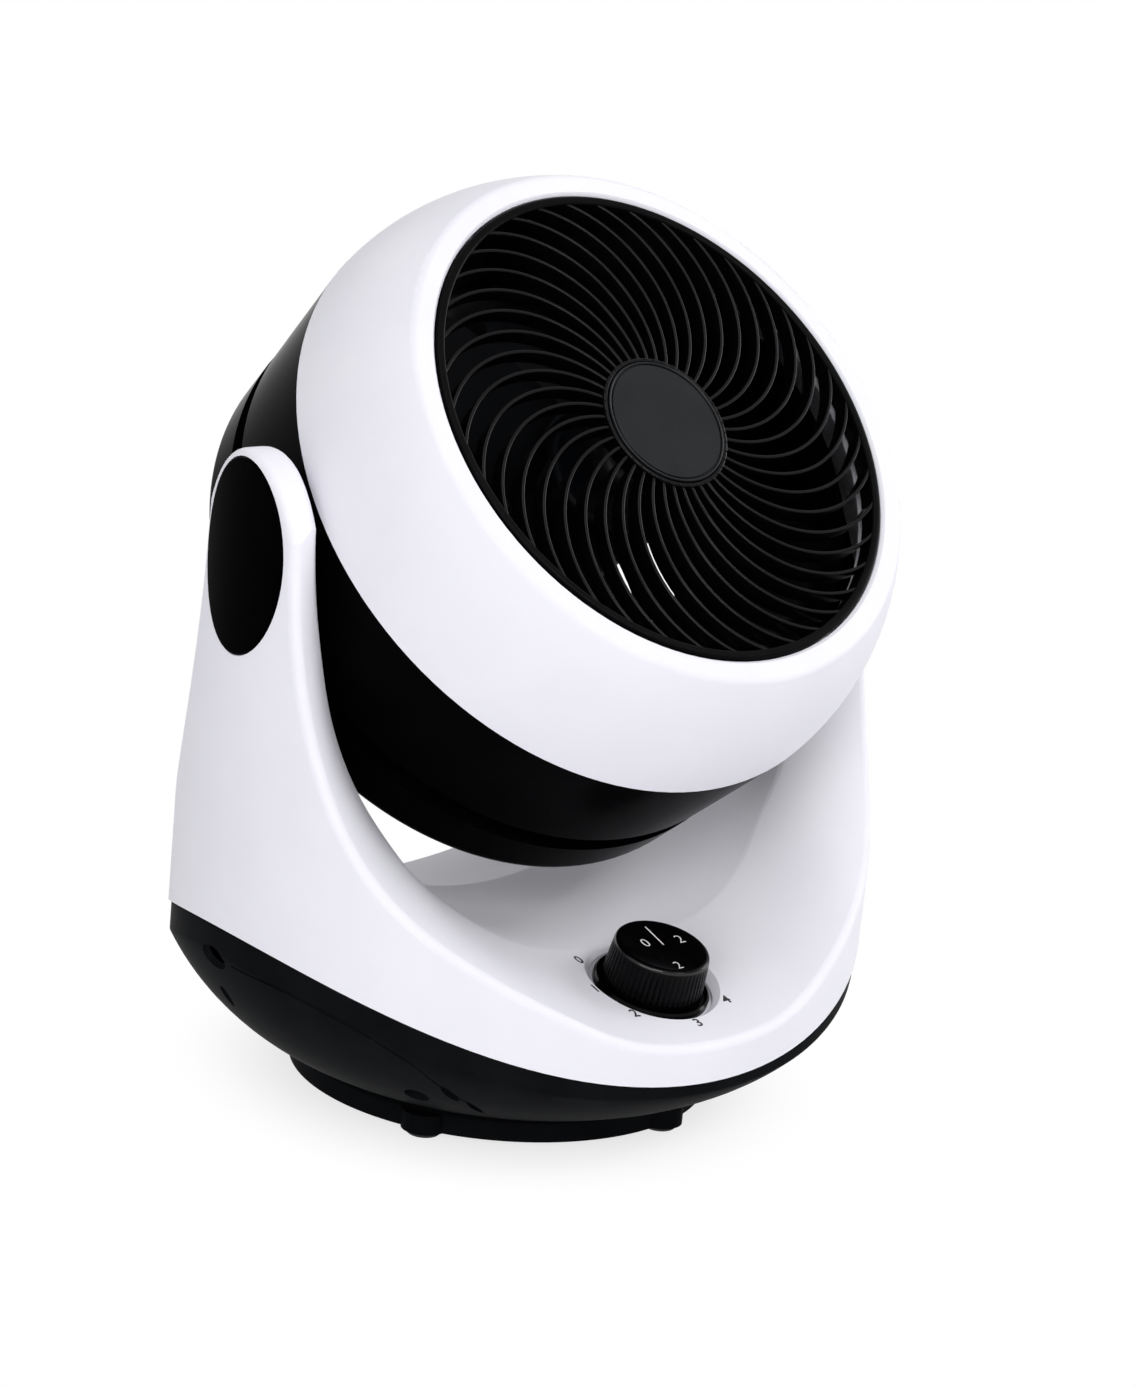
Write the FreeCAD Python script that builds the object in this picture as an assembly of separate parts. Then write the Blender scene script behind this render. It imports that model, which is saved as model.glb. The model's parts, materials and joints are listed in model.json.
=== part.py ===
import FreeCAD, Part
import math
import os

Vec = FreeCAD.Vector
Z_AXIS = Vec(0, 0, 1)
X_AXIS = Vec(1, 0, 0)
Y_AXIS = Vec(0, 1, 0)
os.makedirs("parts", exist_ok=True)

# All sizes in millimetres, +Z up, the fan blows towards -Y, origin on the floor under the swivel axis.

# Clearances shared by several pieces
RUN_FIT = 0.05
SLIDE_GAP = 0.3
SEAT_GAP = 0.1
SPLIT_GAP = 0.4
PRESS_FIT = 0.02
SHAFT_FIT = 0.03
SKIN = 2.4
THROUGH = 1.0

# Tilting head
PIVOT = Vec(0, -3.7, 217.3)
TILT_REST = 42.0
SEAM_A = 23.0
SEAM_R = 121.7
RIDGE_A = 73.2
RIDGE_STEP = 16.7
RIDGE_R = SEAM_R - RIDGE_STEP
RING_SIDE_STEP = 4.4
RING_SIDE_MID = (SEAM_R - RING_SIDE_STEP, 49.0)
RING_FACE_A = 75.0
RING_FACE_STEP = 3.0
RING_FACE_R = RIDGE_R - RING_FACE_STEP
RING_FACE_MID = (RIDGE_R - 0.4 * RING_FACE_STEP, 74.5)
RING_SIDE_LAG = 1.0
RING_FACE_WIDTH = 6.4
RING_BORE_R = RING_FACE_R - RING_FACE_WIDTH
RING_CHAMFER = 1.2
RING_LIP = 3.0
RING_LIP_R = RING_BORE_R - RING_LIP
RING_LIP_A = 64.0

GRILLE_GAP = 0.6
GRILLE_R = RING_BORE_R - GRILLE_GAP
GRILLE_RIM_WIDTH = 3.4
GRILLE_FRONT_A = 75.0
GRILLE_DEPTH = 8.0
GRILLE_HUB_R = 26.5
RIB_COUNT = 40
RIB_THICK = 1.6
RIB_DEPTH = 6.6
RIB_BEND_R = 48.0
RIB_RECESS = 0.7
RIB_ROOT = 1.5
HUB_CAP_R = 24.6
HUB_CAP_THICK = 2.0
HUB_CAP_PROUD = 0.5
HUB_CAP_BEVEL = 0.8
HUB_PLATE = 3.5

DRUM_REAR_A = -26.6
DRUM_TAPER = 3.8
DRUM_REAR_R = SEAM_R - DRUM_TAPER
DRUM_EDGE = 1.0
NECK_STEP = 11.4
NECK_R = DRUM_REAR_R - NECK_STEP
NECK_END_A = -37.0
DUCT_STEP = 16.5
DUCT_R = NECK_R - DUCT_STEP
DUCT_FRONT_A = 56.0
DUCT_FLARE = 2.0
SPIGOT_GAP = 1.0
SPIGOT_LENGTH = 5.0
SPIGOT_JOG = 1.6
SPIGOT_JOG_A = 3.0
BOSS_R = 13.0
BOSS_GAP = 3.5

COVER_FRONT_A = -35.0
COVER_STEP = 0.4
COVER_FRONT_R = DRUM_REAR_R - COVER_STEP
COVER_TAPER = 1.1
COVER_SIDE_R = COVER_FRONT_R - COVER_TAPER
COVER_BACK_A = -59.0
COVER_CROWN = 2.4
COVER_CORNER = 8.0
COVER_SPIGOT_END_A = -46.0
SLOT_RINGS = 5
SLOT_FIRST_R = 52.0
SLOT_EDGE = 12.4
SLOT_PITCH = (COVER_SIDE_R - SLOT_EDGE - SLOT_FIRST_R) / SLOT_RINGS
SLOT_WIDTH = 6.4
SPOKE_COUNT = 18
SPOKE_WIDTH = 3.0
PLATE_R = 46.0
COVER_SCREW_INSET = 9.5
COVER_SCREW_RING_R = NECK_R - COVER_SCREW_INSET
COVER_SCREW_COUNT = 4
COVER_BOSS_R = 5.0
COVER_PAD_R = 7.5
COVER_SCREW_LENGTH = 16.0

# Fan motor and impeller
MOTOR_R = 40.0
MOTOR_WALL = 1.8
MOTOR_BACK_A = -58.6
MOTOR_SPLIT_A = -36.0
MOTOR_FRONT_A = -17.0
MOTOR_END = 2.4
BEARING_R = 6.0
BEARING_LENGTH = 6.0
BEARING_SEAT_R = 9.0
STATOR_BORE_R = 23.2
STATOR_BACK_A = -46.0
STATOR_FRONT_A = -28.0
COIL_R_IN = 25.0
COIL_R_OUT = 35.5
COIL_LENGTH = 4.0
ROTOR_R = 22.7
SHAFT_R = 4.0
SHAFT_BACK_A = -55.0
SHAFT_FRONT_A = 44.0
SHAFT_CHAMFER = 0.6
MOTOR_SCREW_RING_R = 29.0
MOTOR_SCREW_COUNT = 4
MOTOR_SCREW_LENGTH = 7.0
MOTOR_FLANGE_R = 44.5
MOTOR_BOSS_R = 4.2
MOTOR_BOSS = 4.5
MOTOR_BEND = 2.0
BEARING_SETBACK = 0.6
STATOR_SLOT_COUNT = 8
STATOR_SLOT_DEPTH = 8.0
STATOR_SLOT_WIDTH = 3.4

TIP_GAP = 4.0
IMPELLER_R = DUCT_R - TIP_GAP
IMPELLER_HUB_R = 27.0
IMPELLER_BACK_A = 6.0
IMPELLER_FRONT_A = 40.0
IMPELLER_WALL = 2.2
IMPELLER_BOSS_R = 8.5
IMPELLER_BOSS_BACK = 2.0
IMPELLER_BEND = 4.0
BLADE_COUNT = 5
BLADE_MID_A = 24.0
BLADE_ROOT = (25.5, 44.0, 48.0)
BLADE_MIDDLE = (56.0, 58.0, 34.0)
BLADE_TIP = (IMPELLER_R + 2.0, 64.0, 25.0)
BLADE_CAMBER = 4.0
BLADE_THICK = 2.6
NUT_R = 9.0
NUT_HEIGHT = 9.0
NUT_SIDE = 3.0
NUT_BULGE = 0.78
NUT_TIP_R = 0.8

# Trunnions that carry the head, set by the valley between the arms
HEAD_GAP = 4.3
TROUGH_HALF = SEAM_R + HEAD_GAP
SEAT_X = TROUGH_HALF
SEAT_R = 14.0
BOSS_FACE_X = SEAT_X - BOSS_GAP
WASHER_R = 12.0
BUSH_R = 9.0
BUSH_LENGTH = 5.8
BUSH_INNER_X = SEAT_X + 2 * SEAT_GAP
BUSH_OUTER_X = BUSH_INNER_X + BUSH_LENGTH
BUSH_FLANGE_R = 11.5
BUSH_FLANGE = 2.0
PIN_R = 6.0
PIN_HEAD_R = 8.6
PIN_LENGTH = 32.6
PIN_OUTER_X = BUSH_OUTER_X + 2 * SLIDE_GAP
PIN_INNER_X = PIN_OUTER_X - PIN_LENGTH
PIN_HEAD = 2.6

# Yoke and tray, an oval in plan
ARM_DEPTH = 15.2
OVAL_A = TROUGH_HALF + ARM_DEPTH
OVAL_B = 117.6
OVAL_Y = -5.4
RIM_LOW_Z = 38.4
RIM_ARC_R = 261.0
YOKE_TOP_Z = 350.0
RIDGE_OVERRUN = 0.4
CREST_OVERRUN = 0.5
TROUGH_FLOOR_Z = 68.8
TROUGH_CENTRE_Z = 244.0
TROUGH_POWER = 2.3
ARCH_Y = -2.0
ARCH_Z = 203.0
ARCH_HALF = 31.0
ARCH_RISE = 50.2
RIDGE_ROUND = 3.4
CREST_ROUND = 5.0
ON_OVAL = 0.003
# Ridge as (angle round the oval, height); crest as (share of the valley's half width, y, height)
RIDGE_FRONT = ((0, 53), (14, 56), (24, 65), (33, 75), (43, 87), (54, 103),
               (64.5, 128), (72.5, 163), (76.8, 200), (77.6, 235), (77.6, 300))
CREST_FRONT = ((0, -57, 69), (0.246, -56, 72.5), (0.476, -51, 84.5), (0.651, -44, 101),
               (0.754, -39, 117), (0.849, -33.5, 137), (0.929, -28.6, 166), (0.968, -26.4, 200),
               (0.988, -26, 235), (0.992, -26, 300))
RIDGE_REAR = ((0, 42), (14, 45), (24, 52), (33, 63), (43, 79), (54, 101),
              (64, 128), (71, 163), (74.4, 200), (75, 235), (75, 300))
CREST_REAR = ((0, 20, 68.8), (0.246, 20, 72.5), (0.476, 20, 84.5), (0.651, 20.2, 101),
              (0.754, 20.4, 117), (0.849, 20.7, 137), (0.929, 21, 166), (0.968, 21.4, 200),
              (0.988, 21.6, 235), (0.992, 21.6, 300))

CAP_Y = -2.2
CAP_Z = 215.2
CAP_HALF_Y = 23.2
CAP_HALF_Z = 35.1
CAP_PROUD = 0.8
CAP_DEPTH = 2.0
CAP_SKIRT = 2.0
CAP_SKIRT_WALL = 1.6
CAP_REACH = 22.0
CAP_FLOOR = 1.0
CAP_ROUND = 0.9

TRAY_INSET = 1.2
TRAY_BOTTOM_Z = 12.4
TRAY_BOTTOM_R = 80.0
TRAY_MID = (114.5, 32.0)
TRAY_TOP = (OVAL_A + 0.8, 75.0)
BOWL_LEAN = (0.6, 0.8)
TRAY_ROUND = 3.0
TRAY_LIP = 4.0
TRAY_LIP_WALL = 1.8
WELL_X = 92.0
WELL_Y = 60.0
WELL_R = 4.6
WELL_WALL = 2.0
WELL_SHELF_Z = 44.0
WELL_TOP_Z = 49.0
POST_R = 4.8
TRAY_SCREW_LENGTH = 15.0
LIP_REACH = 3.0
INLET_Z = 33.9
INLET_R = 3.3
INLET_BORE_R = 2.5
INLET_FLANGE_R = 4.0
INLET_FLANGE = 1.4
INLET_LENGTH = 5.5

# Speed knob, its collar and the rotary switch
KNOB_BASE = Vec(0, -82.8, 62.7)
KNOB_LEAN = 14.0
KNOB_R = 19.2
KNOB_TOP_R = 18.0
KNOB_BOTTOM = -1.2
KNOB_TOP = 15.6
KNOB_TOP_EDGE = 0.8
FLUTE_COUNT = 36
FLUTE_DEPTH = 0.5
KNOB_POCKET_R = 15.2
KNOB_POCKET_TOP = 8.0
KNOB_HUB_R = 5.5
SPINDLE_R = 3.0
SPINDLE_TOP = 9.0
SPINDLE_BOTTOM = -18.0
DIAL_RECESS_R = 23.4
DIAL_RECESS = 3.0
DIAL_EDGE = 1.4
DIAL_BOSS_R = 27.0
DIAL_BOSS = 6.5
COLLAR_R = 22.0
COLLAR_LIP_R = 20.2
COLLAR_FLOOR = -1.7
COLLAR_EDGE = 0.8
DIAL_FLARE = 6.0
SWITCH_SIDE = 26.0
SWITCH_TOP = -7.0
SWITCH_BOTTOM = -22.0
SWITCH_CORNER = 3.0
SWITCH_NECK_R = 4.8
TAB_COUNT = 5
TAB_LENGTH = 6.0
TAB_WIDTH = 2.8
TAB_THICK = 0.8
TAB_PITCH = 4.6
TAB_INSET = 4.0

# Pedestal and swivel
PEDESTAL_R = 81.0
PEDESTAL_TOP_Z = 11.0
PEDESTAL_FOOT_Z = 2.0
PEDESTAL_PLATE = 3.0
PEDESTAL_EDGE = 1.6
LUG_COUNT = 5
LUG_FIRST = -59.0
LUG_STEP = 3.0
LUG_RING_R = PEDESTAL_R - LUG_STEP
LUG_R = 8.6
PAD_R = 6.8
PAD_HEIGHT = 3.0
PAD_EDGE = 0.8
CENTRE_PAD_R = 15.0
CORE_MARGIN = 2.0
SPINE_R = 13.0
SPINE_BORE_R = 7.0
SPINE_TOP_Z = 36.0
SPINE_FLANGE_Z = 3.5
SPINE_FLANGE = 2.5
SPINE_FLANGE_R = 25.0
SPINE_SCREW_RING_R = 20.0
SPINE_SCREW_COUNT = 3
SPINE_SCREW_LENGTH = 5.0
SPINE_EDGE = 1.0
THRUST_R_IN = 15.0
THRUST_R_OUT = 42.0
HUB_R = 17.5
HUB_TOP_Z = 24.0
CLIP_R = 18.5
CLIP_Z = 24.5
CLIP_THICK = 1.4
GEAR_MODULE = 1.5
SECTOR_TEETH = 45
PINION_TEETH = 18
GEAR_Z = 28.6
GEAR_WIDTH = 4.4
GEAR_BACKLASH = 0.24
SECTOR_HALF_TEETH = 7
SECTOR_WEB_HALF = 62.0
SECTOR_RIM = 6.0
PRESSURE_ANGLE = math.radians(20)
DEDENDUM = 1.25
FLANK_STEPS = 3
SWING_R = 24.0
SWING_TOP_Z = 27.0
SWING_EAR_SPAN = 29.0
SWING_EAR_R = 4.5
SWING_EAR = 2.0
SWING_SHAFT_R = 3.0
SWING_SHAFT_BOTTOM_Z = 18.0
SWING_SHAFT_PROUD = 2.0

# Fasteners
SCREW_R = 1.9
SCREW_HEAD_R = 3.7
SCREW_HEAD = 2.4
SCREW_SLOT = 1.0
SCREW_CROWN = 0.7


def outline_face(start, steps):
    # Closed flat face in the (radius, height) plane; a step is a point, or a pair (arc middle, arc end).
    edges = []
    here = start
    for step in list(steps) + [start]:
        if isinstance(step[0], tuple):
            middle, end = step
            edges.append(Part.Arc(flat(here), flat(middle), flat(end)).toShape())
            here = end
        else:
            edges.append(Part.makeLine(flat(here), flat(step)))
            here = step
    return Part.Face(Part.Wire(edges))


def flat(point):
    return Vec(point[0], 0, point[1])


def turned(start, *steps):
    return outline_face(start, steps).revolve(Vec(0, 0, 0), Z_AXIS, 360)


def cylinder(radius, low, high, x=0.0, y=0.0):
    return Part.makeCylinder(radius, high - low, Vec(x, y, low), Z_AXIS)


def tube(inner, outer, low, high, x=0.0, y=0.0):
    return cylinder(outer, low, high, x, y).cut(cylinder(inner, low - THROUGH, high + THROUGH, x, y))


def bar_x(radius, low, high, y=0.0, z=0.0):
    return Part.makeCylinder(radius, high - low, Vec(low, y, z), X_AXIS)


def polar(radius, degrees):
    angle = math.radians(degrees)
    return radius * math.cos(angle), radius * math.sin(angle)


def around(shape, count, first=0.0):
    copies = []
    for index in range(count):
        copy = shape.copy()
        copy.rotate(Vec(0, 0, 0), Z_AXIS, first + index * 360.0 / count)
        copies.append(copy)
    return copies


def mirrored_x(shape):
    return shape.mirror(Vec(0, 0, 0), X_AXIS)


def on_head(shape):
    placed = shape.copy()
    placed.rotate(Vec(0, 0, 0), X_AXIS, 90 - TILT_REST)
    placed.translate(PIVOT)
    return placed


def on_dial(shape):
    placed = shape.copy()
    placed.rotate(Vec(0, 0, 0), X_AXIS, KNOB_LEAN)
    placed.translate(KNOB_BASE)
    return placed


def screw(length):
    # Pan-head screw standing on its tip axis: the head's seat is at height 0, the shank runs up.
    crown = SCREW_HEAD_R * SCREW_CROWN
    head = turned((0, -SCREW_HEAD), (crown, -SCREW_HEAD), (SCREW_HEAD_R, -SCREW_HEAD / 2),
                  (SCREW_HEAD_R, 0), (0, 0))
    for wide, long in ((SCREW_SLOT, SCREW_HEAD_R), (SCREW_HEAD_R, SCREW_SLOT)):
        corner = Vec(-wide / 2, -long / 2, -SCREW_HEAD)
        head = head.cut(Part.makeBox(wide, long, SCREW_SLOT, corner))
    return head.fuse(cylinder(SCREW_R, 0, length)).removeSplitter()


def front_ring():
    # Rounded ring round the outlet, with an inner tube and a lip that seats the grille.
    inner = RING_BORE_R + SKIN
    return turned((SEAM_R, SEAM_A),
                  (RING_SIDE_MID, (RIDGE_R, RIDGE_A)),
                  (RING_FACE_MID, (RING_FACE_R, RING_FACE_A)),
                  (RING_BORE_R + RING_CHAMFER, RING_FACE_A),
                  (RING_BORE_R, RING_FACE_A - RING_CHAMFER),
                  (RING_BORE_R, RING_LIP_A + SKIN),
                  (RING_LIP_R, RING_LIP_A + SKIN),
                  (RING_LIP_R, RING_LIP_A),
                  (inner, RING_LIP_A),
                  (inner, RING_FACE_A - SKIN),
                  (RING_FACE_R, RING_FACE_A - SKIN),
                  ((RING_SIDE_MID[0] - SKIN, RING_SIDE_MID[1] - RING_SIDE_LAG), (SEAM_R - SKIN, SEAM_A)))


def rib_turn(start, reach):
    # Angle along a rib's bend at which it reaches a distance from the grille's centre.
    centre = math.hypot(start, RIB_BEND_R)
    apart = (RIB_BEND_R ** 2 + centre ** 2 - reach ** 2) / (2 * RIB_BEND_R * centre)
    return math.acos(apart) - math.atan2(start, RIB_BEND_R)


def grille_rib(low, high):
    # Rib leaving the hub along the radius and bending round a circle until it reaches the rim.
    start = GRILLE_HUB_R - RIB_ROOT
    reach = GRILLE_R - GRILLE_RIM_WIDTH / 2
    turn = rib_turn(start, reach)

    def on_arc(radius, angle):
        return Vec(start + radius * math.sin(angle), RIB_BEND_R - radius * math.cos(angle), low)
    near = RIB_BEND_R - RIB_THICK / 2
    far = RIB_BEND_R + RIB_THICK / 2
    edges = [Part.Arc(on_arc(near, 0), on_arc(near, turn / 2), on_arc(near, turn)).toShape(),
             Part.makeLine(on_arc(near, turn), on_arc(far, turn)),
             Part.Arc(on_arc(far, turn), on_arc(far, turn / 2), on_arc(far, 0)).toShape(),
             Part.makeLine(on_arc(far, 0), on_arc(near, 0))]
    return Part.Face(Part.Wire(edges)).extrude(Vec(0, 0, high - low))


def front_grille():
    back = GRILLE_FRONT_A - GRILLE_DEPTH
    rib_top = GRILLE_FRONT_A - RIB_RECESS
    rim = tube(GRILLE_R - GRILLE_RIM_WIDTH, GRILLE_R, back, GRILLE_FRONT_A)
    hub_back = rib_top - RIB_DEPTH
    hub = cylinder(GRILLE_HUB_R, hub_back, GRILLE_FRONT_A)
    pocket_floor = GRILLE_FRONT_A + HUB_CAP_PROUD - HUB_CAP_THICK - SEAT_GAP
    hub = hub.cut(cylinder(HUB_CAP_R + SLIDE_GAP, pocket_floor, GRILLE_FRONT_A + THROUGH))
    hub = hub.cut(cylinder(GRILLE_HUB_R - SKIN, hub_back - THROUGH, pocket_floor - HUB_PLATE + SKIN))
    ribs = around(grille_rib(rib_top - RIB_DEPTH, rib_top), RIB_COUNT)
    return rim.multiFuse(ribs + [hub]).removeSplitter()


def grille_hub_cap():
    top = GRILLE_FRONT_A + HUB_CAP_PROUD
    low = top - HUB_CAP_THICK
    return turned((0, low), (HUB_CAP_R, low), (HUB_CAP_R, top - HUB_CAP_BEVEL),
                  (HUB_CAP_R - HUB_CAP_BEVEL, top), (0, top))


def drum_skin_radius(height):
    share = (height - DRUM_REAR_A) / (SEAM_A - DRUM_REAR_A)
    return DRUM_REAR_R + share * (SEAM_R - DRUM_REAR_R)


def fan_drum():
    # Conical skin, rear flange, neck for the rear cover, air duct round the impeller and two pivot bosses.
    front = SEAM_A - SPLIT_GAP
    spigot = SEAM_R - SKIN - SPIGOT_GAP
    flange = DRUM_REAR_A + SKIN
    drum = turned((drum_skin_radius(front), front),
                  (drum_skin_radius(DRUM_REAR_A + DRUM_EDGE), DRUM_REAR_A + DRUM_EDGE),
                  (DRUM_REAR_R - DRUM_EDGE, DRUM_REAR_A),
                  (NECK_R, DRUM_REAR_A),
                  (NECK_R, NECK_END_A),
                  (NECK_R - SKIN, NECK_END_A),
                  (NECK_R - SKIN, DRUM_REAR_A),
                  (DUCT_R + DUCT_FLARE, DRUM_REAR_A),
                  (DUCT_R, DRUM_REAR_A + DUCT_FLARE),
                  (DUCT_R, DUCT_FRONT_A),
                  (DUCT_R + SKIN, DUCT_FRONT_A),
                  (DUCT_R + SKIN, flange),
                  (drum_skin_radius(flange) - SKIN, flange),
                  (spigot - SKIN + SPIGOT_JOG, front - 2 * SPIGOT_JOG_A),
                  (spigot - SKIN, front - SPIGOT_JOG_A),
                  (spigot - SKIN, front + SPIGOT_LENGTH),
                  (spigot, front + SPIGOT_LENGTH),
                  (spigot, front))
    boss = bar_x(BOSS_R, DUCT_R + SKIN / 2, BOSS_FACE_X)
    bore = bar_x(PIN_R + SEAT_GAP, PIN_INNER_X - SEAT_GAP, BOSS_FACE_X + THROUGH)
    drum = drum.multiFuse([boss, mirrored_x(boss)])
    drum = drum.cut([bore, mirrored_x(bore)])
    x, y = polar(COVER_SCREW_RING_R, 0)
    post_end = cover_inner_height(COVER_SCREW_RING_R) + SLIDE_GAP
    post = cylinder(COVER_BOSS_R, post_end, DRUM_REAR_A + SKIN / 2, x, y)
    hole = cylinder(SCREW_R + RUN_FIT, post_end - THROUGH, DRUM_REAR_A - SKIN, x, y)
    step = 180.0 / COVER_SCREW_COUNT
    drum = drum.multiFuse(around(post, COVER_SCREW_COUNT, step))
    return drum.cut(around(hole, COVER_SCREW_COUNT, step)).removeSplitter()


def cover_inner_height(radius):
    # Height of the rear cover's inner face at a radius: it falls towards the motor plate.
    outer = COVER_SIDE_R - COVER_CORNER
    share = min(1.0, (outer - radius) / (outer - PLATE_R))
    return COVER_BACK_A - share * COVER_CROWN + SKIN


def slot(inner, outer, half_gap, low, high):
    # Curved intake slot of one sector, its ends parallel to the spokes beside it.
    half = 180.0 / SPOKE_COUNT
    corners = []
    for radius in (inner, outer):
        trim = math.degrees(math.asin(half_gap / radius))
        for angle in (-half + trim, 0.0, half - trim):
            corners.append(Vec(*polar(radius, angle), low))
    a, b, c, d, e, f = corners
    edges = [Part.Arc(a, b, c).toShape(), Part.makeLine(c, f),
             Part.Arc(f, e, d).toShape(), Part.makeLine(d, a)]
    return Part.Face(Part.Wire(edges)).extrude(Vec(0, 0, high - low))


def rear_cover():
    # Flat cup over the back: returned rim, spigot round the drum's neck, ring slots and a motor plate.
    spigot = NECK_R + SLIDE_GAP
    rim = COVER_FRONT_A - SKIN
    bend = COVER_CORNER * (1 - math.sqrt(0.5))
    inner_bend = bend + SKIN * math.sqrt(0.5)
    crown = COVER_BACK_A - COVER_CROWN
    side = COVER_SIDE_R
    cover = turned((COVER_FRONT_R, COVER_FRONT_A),
                   (side, COVER_BACK_A + COVER_CORNER),
                   ((side - bend, COVER_BACK_A + bend), (side - COVER_CORNER, COVER_BACK_A)),
                   (PLATE_R, crown),
                   (0, crown),
                   (0, crown + SKIN),
                   (PLATE_R, crown + SKIN),
                   (side - COVER_CORNER, COVER_BACK_A + SKIN),
                   ((side - inner_bend, COVER_BACK_A + inner_bend),
                    (side - SKIN, COVER_BACK_A + COVER_CORNER)),
                   (COVER_FRONT_R - SKIN, rim),
                   (spigot + SKIN, rim),
                   (spigot + SKIN, COVER_SPIGOT_END_A),
                   (spigot, COVER_SPIGOT_END_A),
                   (spigot, COVER_FRONT_A))
    cuts = []
    for index in range(SLOT_RINGS):
        inner = SLOT_FIRST_R + index * SLOT_PITCH
        one = slot(inner, inner + SLOT_WIDTH, SPOKE_WIDTH / 2, crown - THROUGH, COVER_BACK_A + SKIN + THROUGH)
        cuts += around(one, SPOKE_COUNT)
    cover = cover.cut(cuts)
    low = cover_inner_height(COVER_SCREW_RING_R) - SKIN
    x, y = polar(COVER_SCREW_RING_R, 0)
    step = 180.0 / COVER_SCREW_COUNT
    pads = around(cylinder(COVER_PAD_R, low, low + SKIN, x, y), COVER_SCREW_COUNT, step)
    cover = cover.multiFuse(pads)
    hole = SCREW_R + SEAT_GAP
    seats = around(cylinder(SCREW_HEAD_R + SLIDE_GAP, low - THROUGH, low, x, y), COVER_SCREW_COUNT, step)
    holes = around(cylinder(hole, low - SEAT_GAP, low + SKIN + THROUGH, x, y), COVER_SCREW_COUNT, step)
    x, y = polar(MOTOR_SCREW_RING_R, 0)
    holes += around(cylinder(hole, crown - THROUGH, crown + SKIN + THROUGH, x, y), MOTOR_SCREW_COUNT)
    return cover.cut(seats).cut(holes).removeSplitter()


def cover_screws():
    seat = cover_inner_height(COVER_SCREW_RING_R) - SKIN - SEAT_GAP / 2
    x, y = polar(COVER_SCREW_RING_R, 0)
    one = screw(COVER_SCREW_LENGTH)
    one.translate(Vec(x, y, seat))
    return Part.makeCompound(around(one, COVER_SCREW_COUNT, 180.0 / COVER_SCREW_COUNT))


def motor_screws():
    seat = COVER_BACK_A - COVER_CROWN - SEAT_GAP / 2
    x, y = polar(MOTOR_SCREW_RING_R, 0)
    one = screw(MOTOR_SCREW_LENGTH)
    one.translate(Vec(x, y, seat))
    return Part.makeCompound(around(one, MOTOR_SCREW_COUNT))


def motor_rear_bell():
    back = MOTOR_BACK_A
    plate = back + MOTOR_END
    bore = BEARING_R + RUN_FIT
    seat = plate + BEARING_SETBACK + BEARING_LENGTH
    inside = MOTOR_R - MOTOR_WALL
    bell = turned((0, back), (MOTOR_FLANGE_R, back), (MOTOR_FLANGE_R, plate), (MOTOR_R, plate),
                  (MOTOR_R, MOTOR_SPLIT_A), (inside, MOTOR_SPLIT_A), (inside, plate),
                  (BEARING_SEAT_R, plate), (BEARING_SEAT_R, seat), (bore, seat), (bore, plate), (0, plate))
    x, y = polar(MOTOR_SCREW_RING_R, 0)
    boss = around(cylinder(MOTOR_BOSS_R, plate - MOTOR_END / 2, plate + MOTOR_BOSS, x, y), MOTOR_SCREW_COUNT)
    hole_end = plate + MOTOR_BOSS + THROUGH
    hole = around(cylinder(SCREW_R + RUN_FIT, back - THROUGH, hole_end, x, y), MOTOR_SCREW_COUNT)
    return bell.multiFuse(boss).cut(hole).removeSplitter()


def motor_front_bell():
    low = MOTOR_SPLIT_A + SEAT_GAP
    front = MOTOR_FRONT_A
    plate = front - MOTOR_END
    seat = front - BEARING_LENGTH
    bore = BEARING_R + RUN_FIT
    inside = MOTOR_R - MOTOR_WALL
    return turned((MOTOR_R, low), (MOTOR_R, front - MOTOR_BEND), (MOTOR_R - MOTOR_BEND, front),
                  (BEARING_SEAT_R, front), (bore, front), (bore, seat), (BEARING_SEAT_R, seat),
                  (BEARING_SEAT_R, plate), (inside, plate), (inside, low))


def motor_bearings():
    rear = MOTOR_BACK_A + MOTOR_END + BEARING_SETBACK
    front = MOTOR_FRONT_A - BEARING_LENGTH
    return Part.makeCompound([tube(SHAFT_R + RUN_FIT, BEARING_R, low, low + BEARING_LENGTH)
                              for low in (rear, front)])


def motor_stator():
    # Laminated ring with slots open to the bore.
    ring = tube(STATOR_BORE_R, MOTOR_R - MOTOR_WALL - RUN_FIT, STATOR_BACK_A, STATOR_FRONT_A)
    corner = Vec(STATOR_BORE_R - THROUGH, -STATOR_SLOT_WIDTH / 2, STATOR_BACK_A - THROUGH)
    high = STATOR_FRONT_A - STATOR_BACK_A + 2 * THROUGH
    cut = Part.makeBox(STATOR_SLOT_DEPTH + THROUGH, STATOR_SLOT_WIDTH, high, corner)
    return ring.cut(around(cut, STATOR_SLOT_COUNT))


def stator_windings():
    rear = STATOR_BACK_A - SEAT_GAP - COIL_LENGTH
    front = STATOR_FRONT_A + SEAT_GAP
    return Part.makeCompound([tube(COIL_R_IN, COIL_R_OUT, low, low + COIL_LENGTH) for low in (rear, front)])


def rotor_core():
    return tube(SHAFT_R + PRESS_FIT, ROTOR_R, STATOR_BACK_A, STATOR_FRONT_A)


def motor_shaft():
    edge = SHAFT_CHAMFER
    return turned((0, SHAFT_BACK_A), (SHAFT_R - edge, SHAFT_BACK_A), (SHAFT_R, SHAFT_BACK_A + edge),
                  (SHAFT_R, SHAFT_FRONT_A - edge), (SHAFT_R - edge, SHAFT_FRONT_A), (0, SHAFT_FRONT_A))


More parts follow.
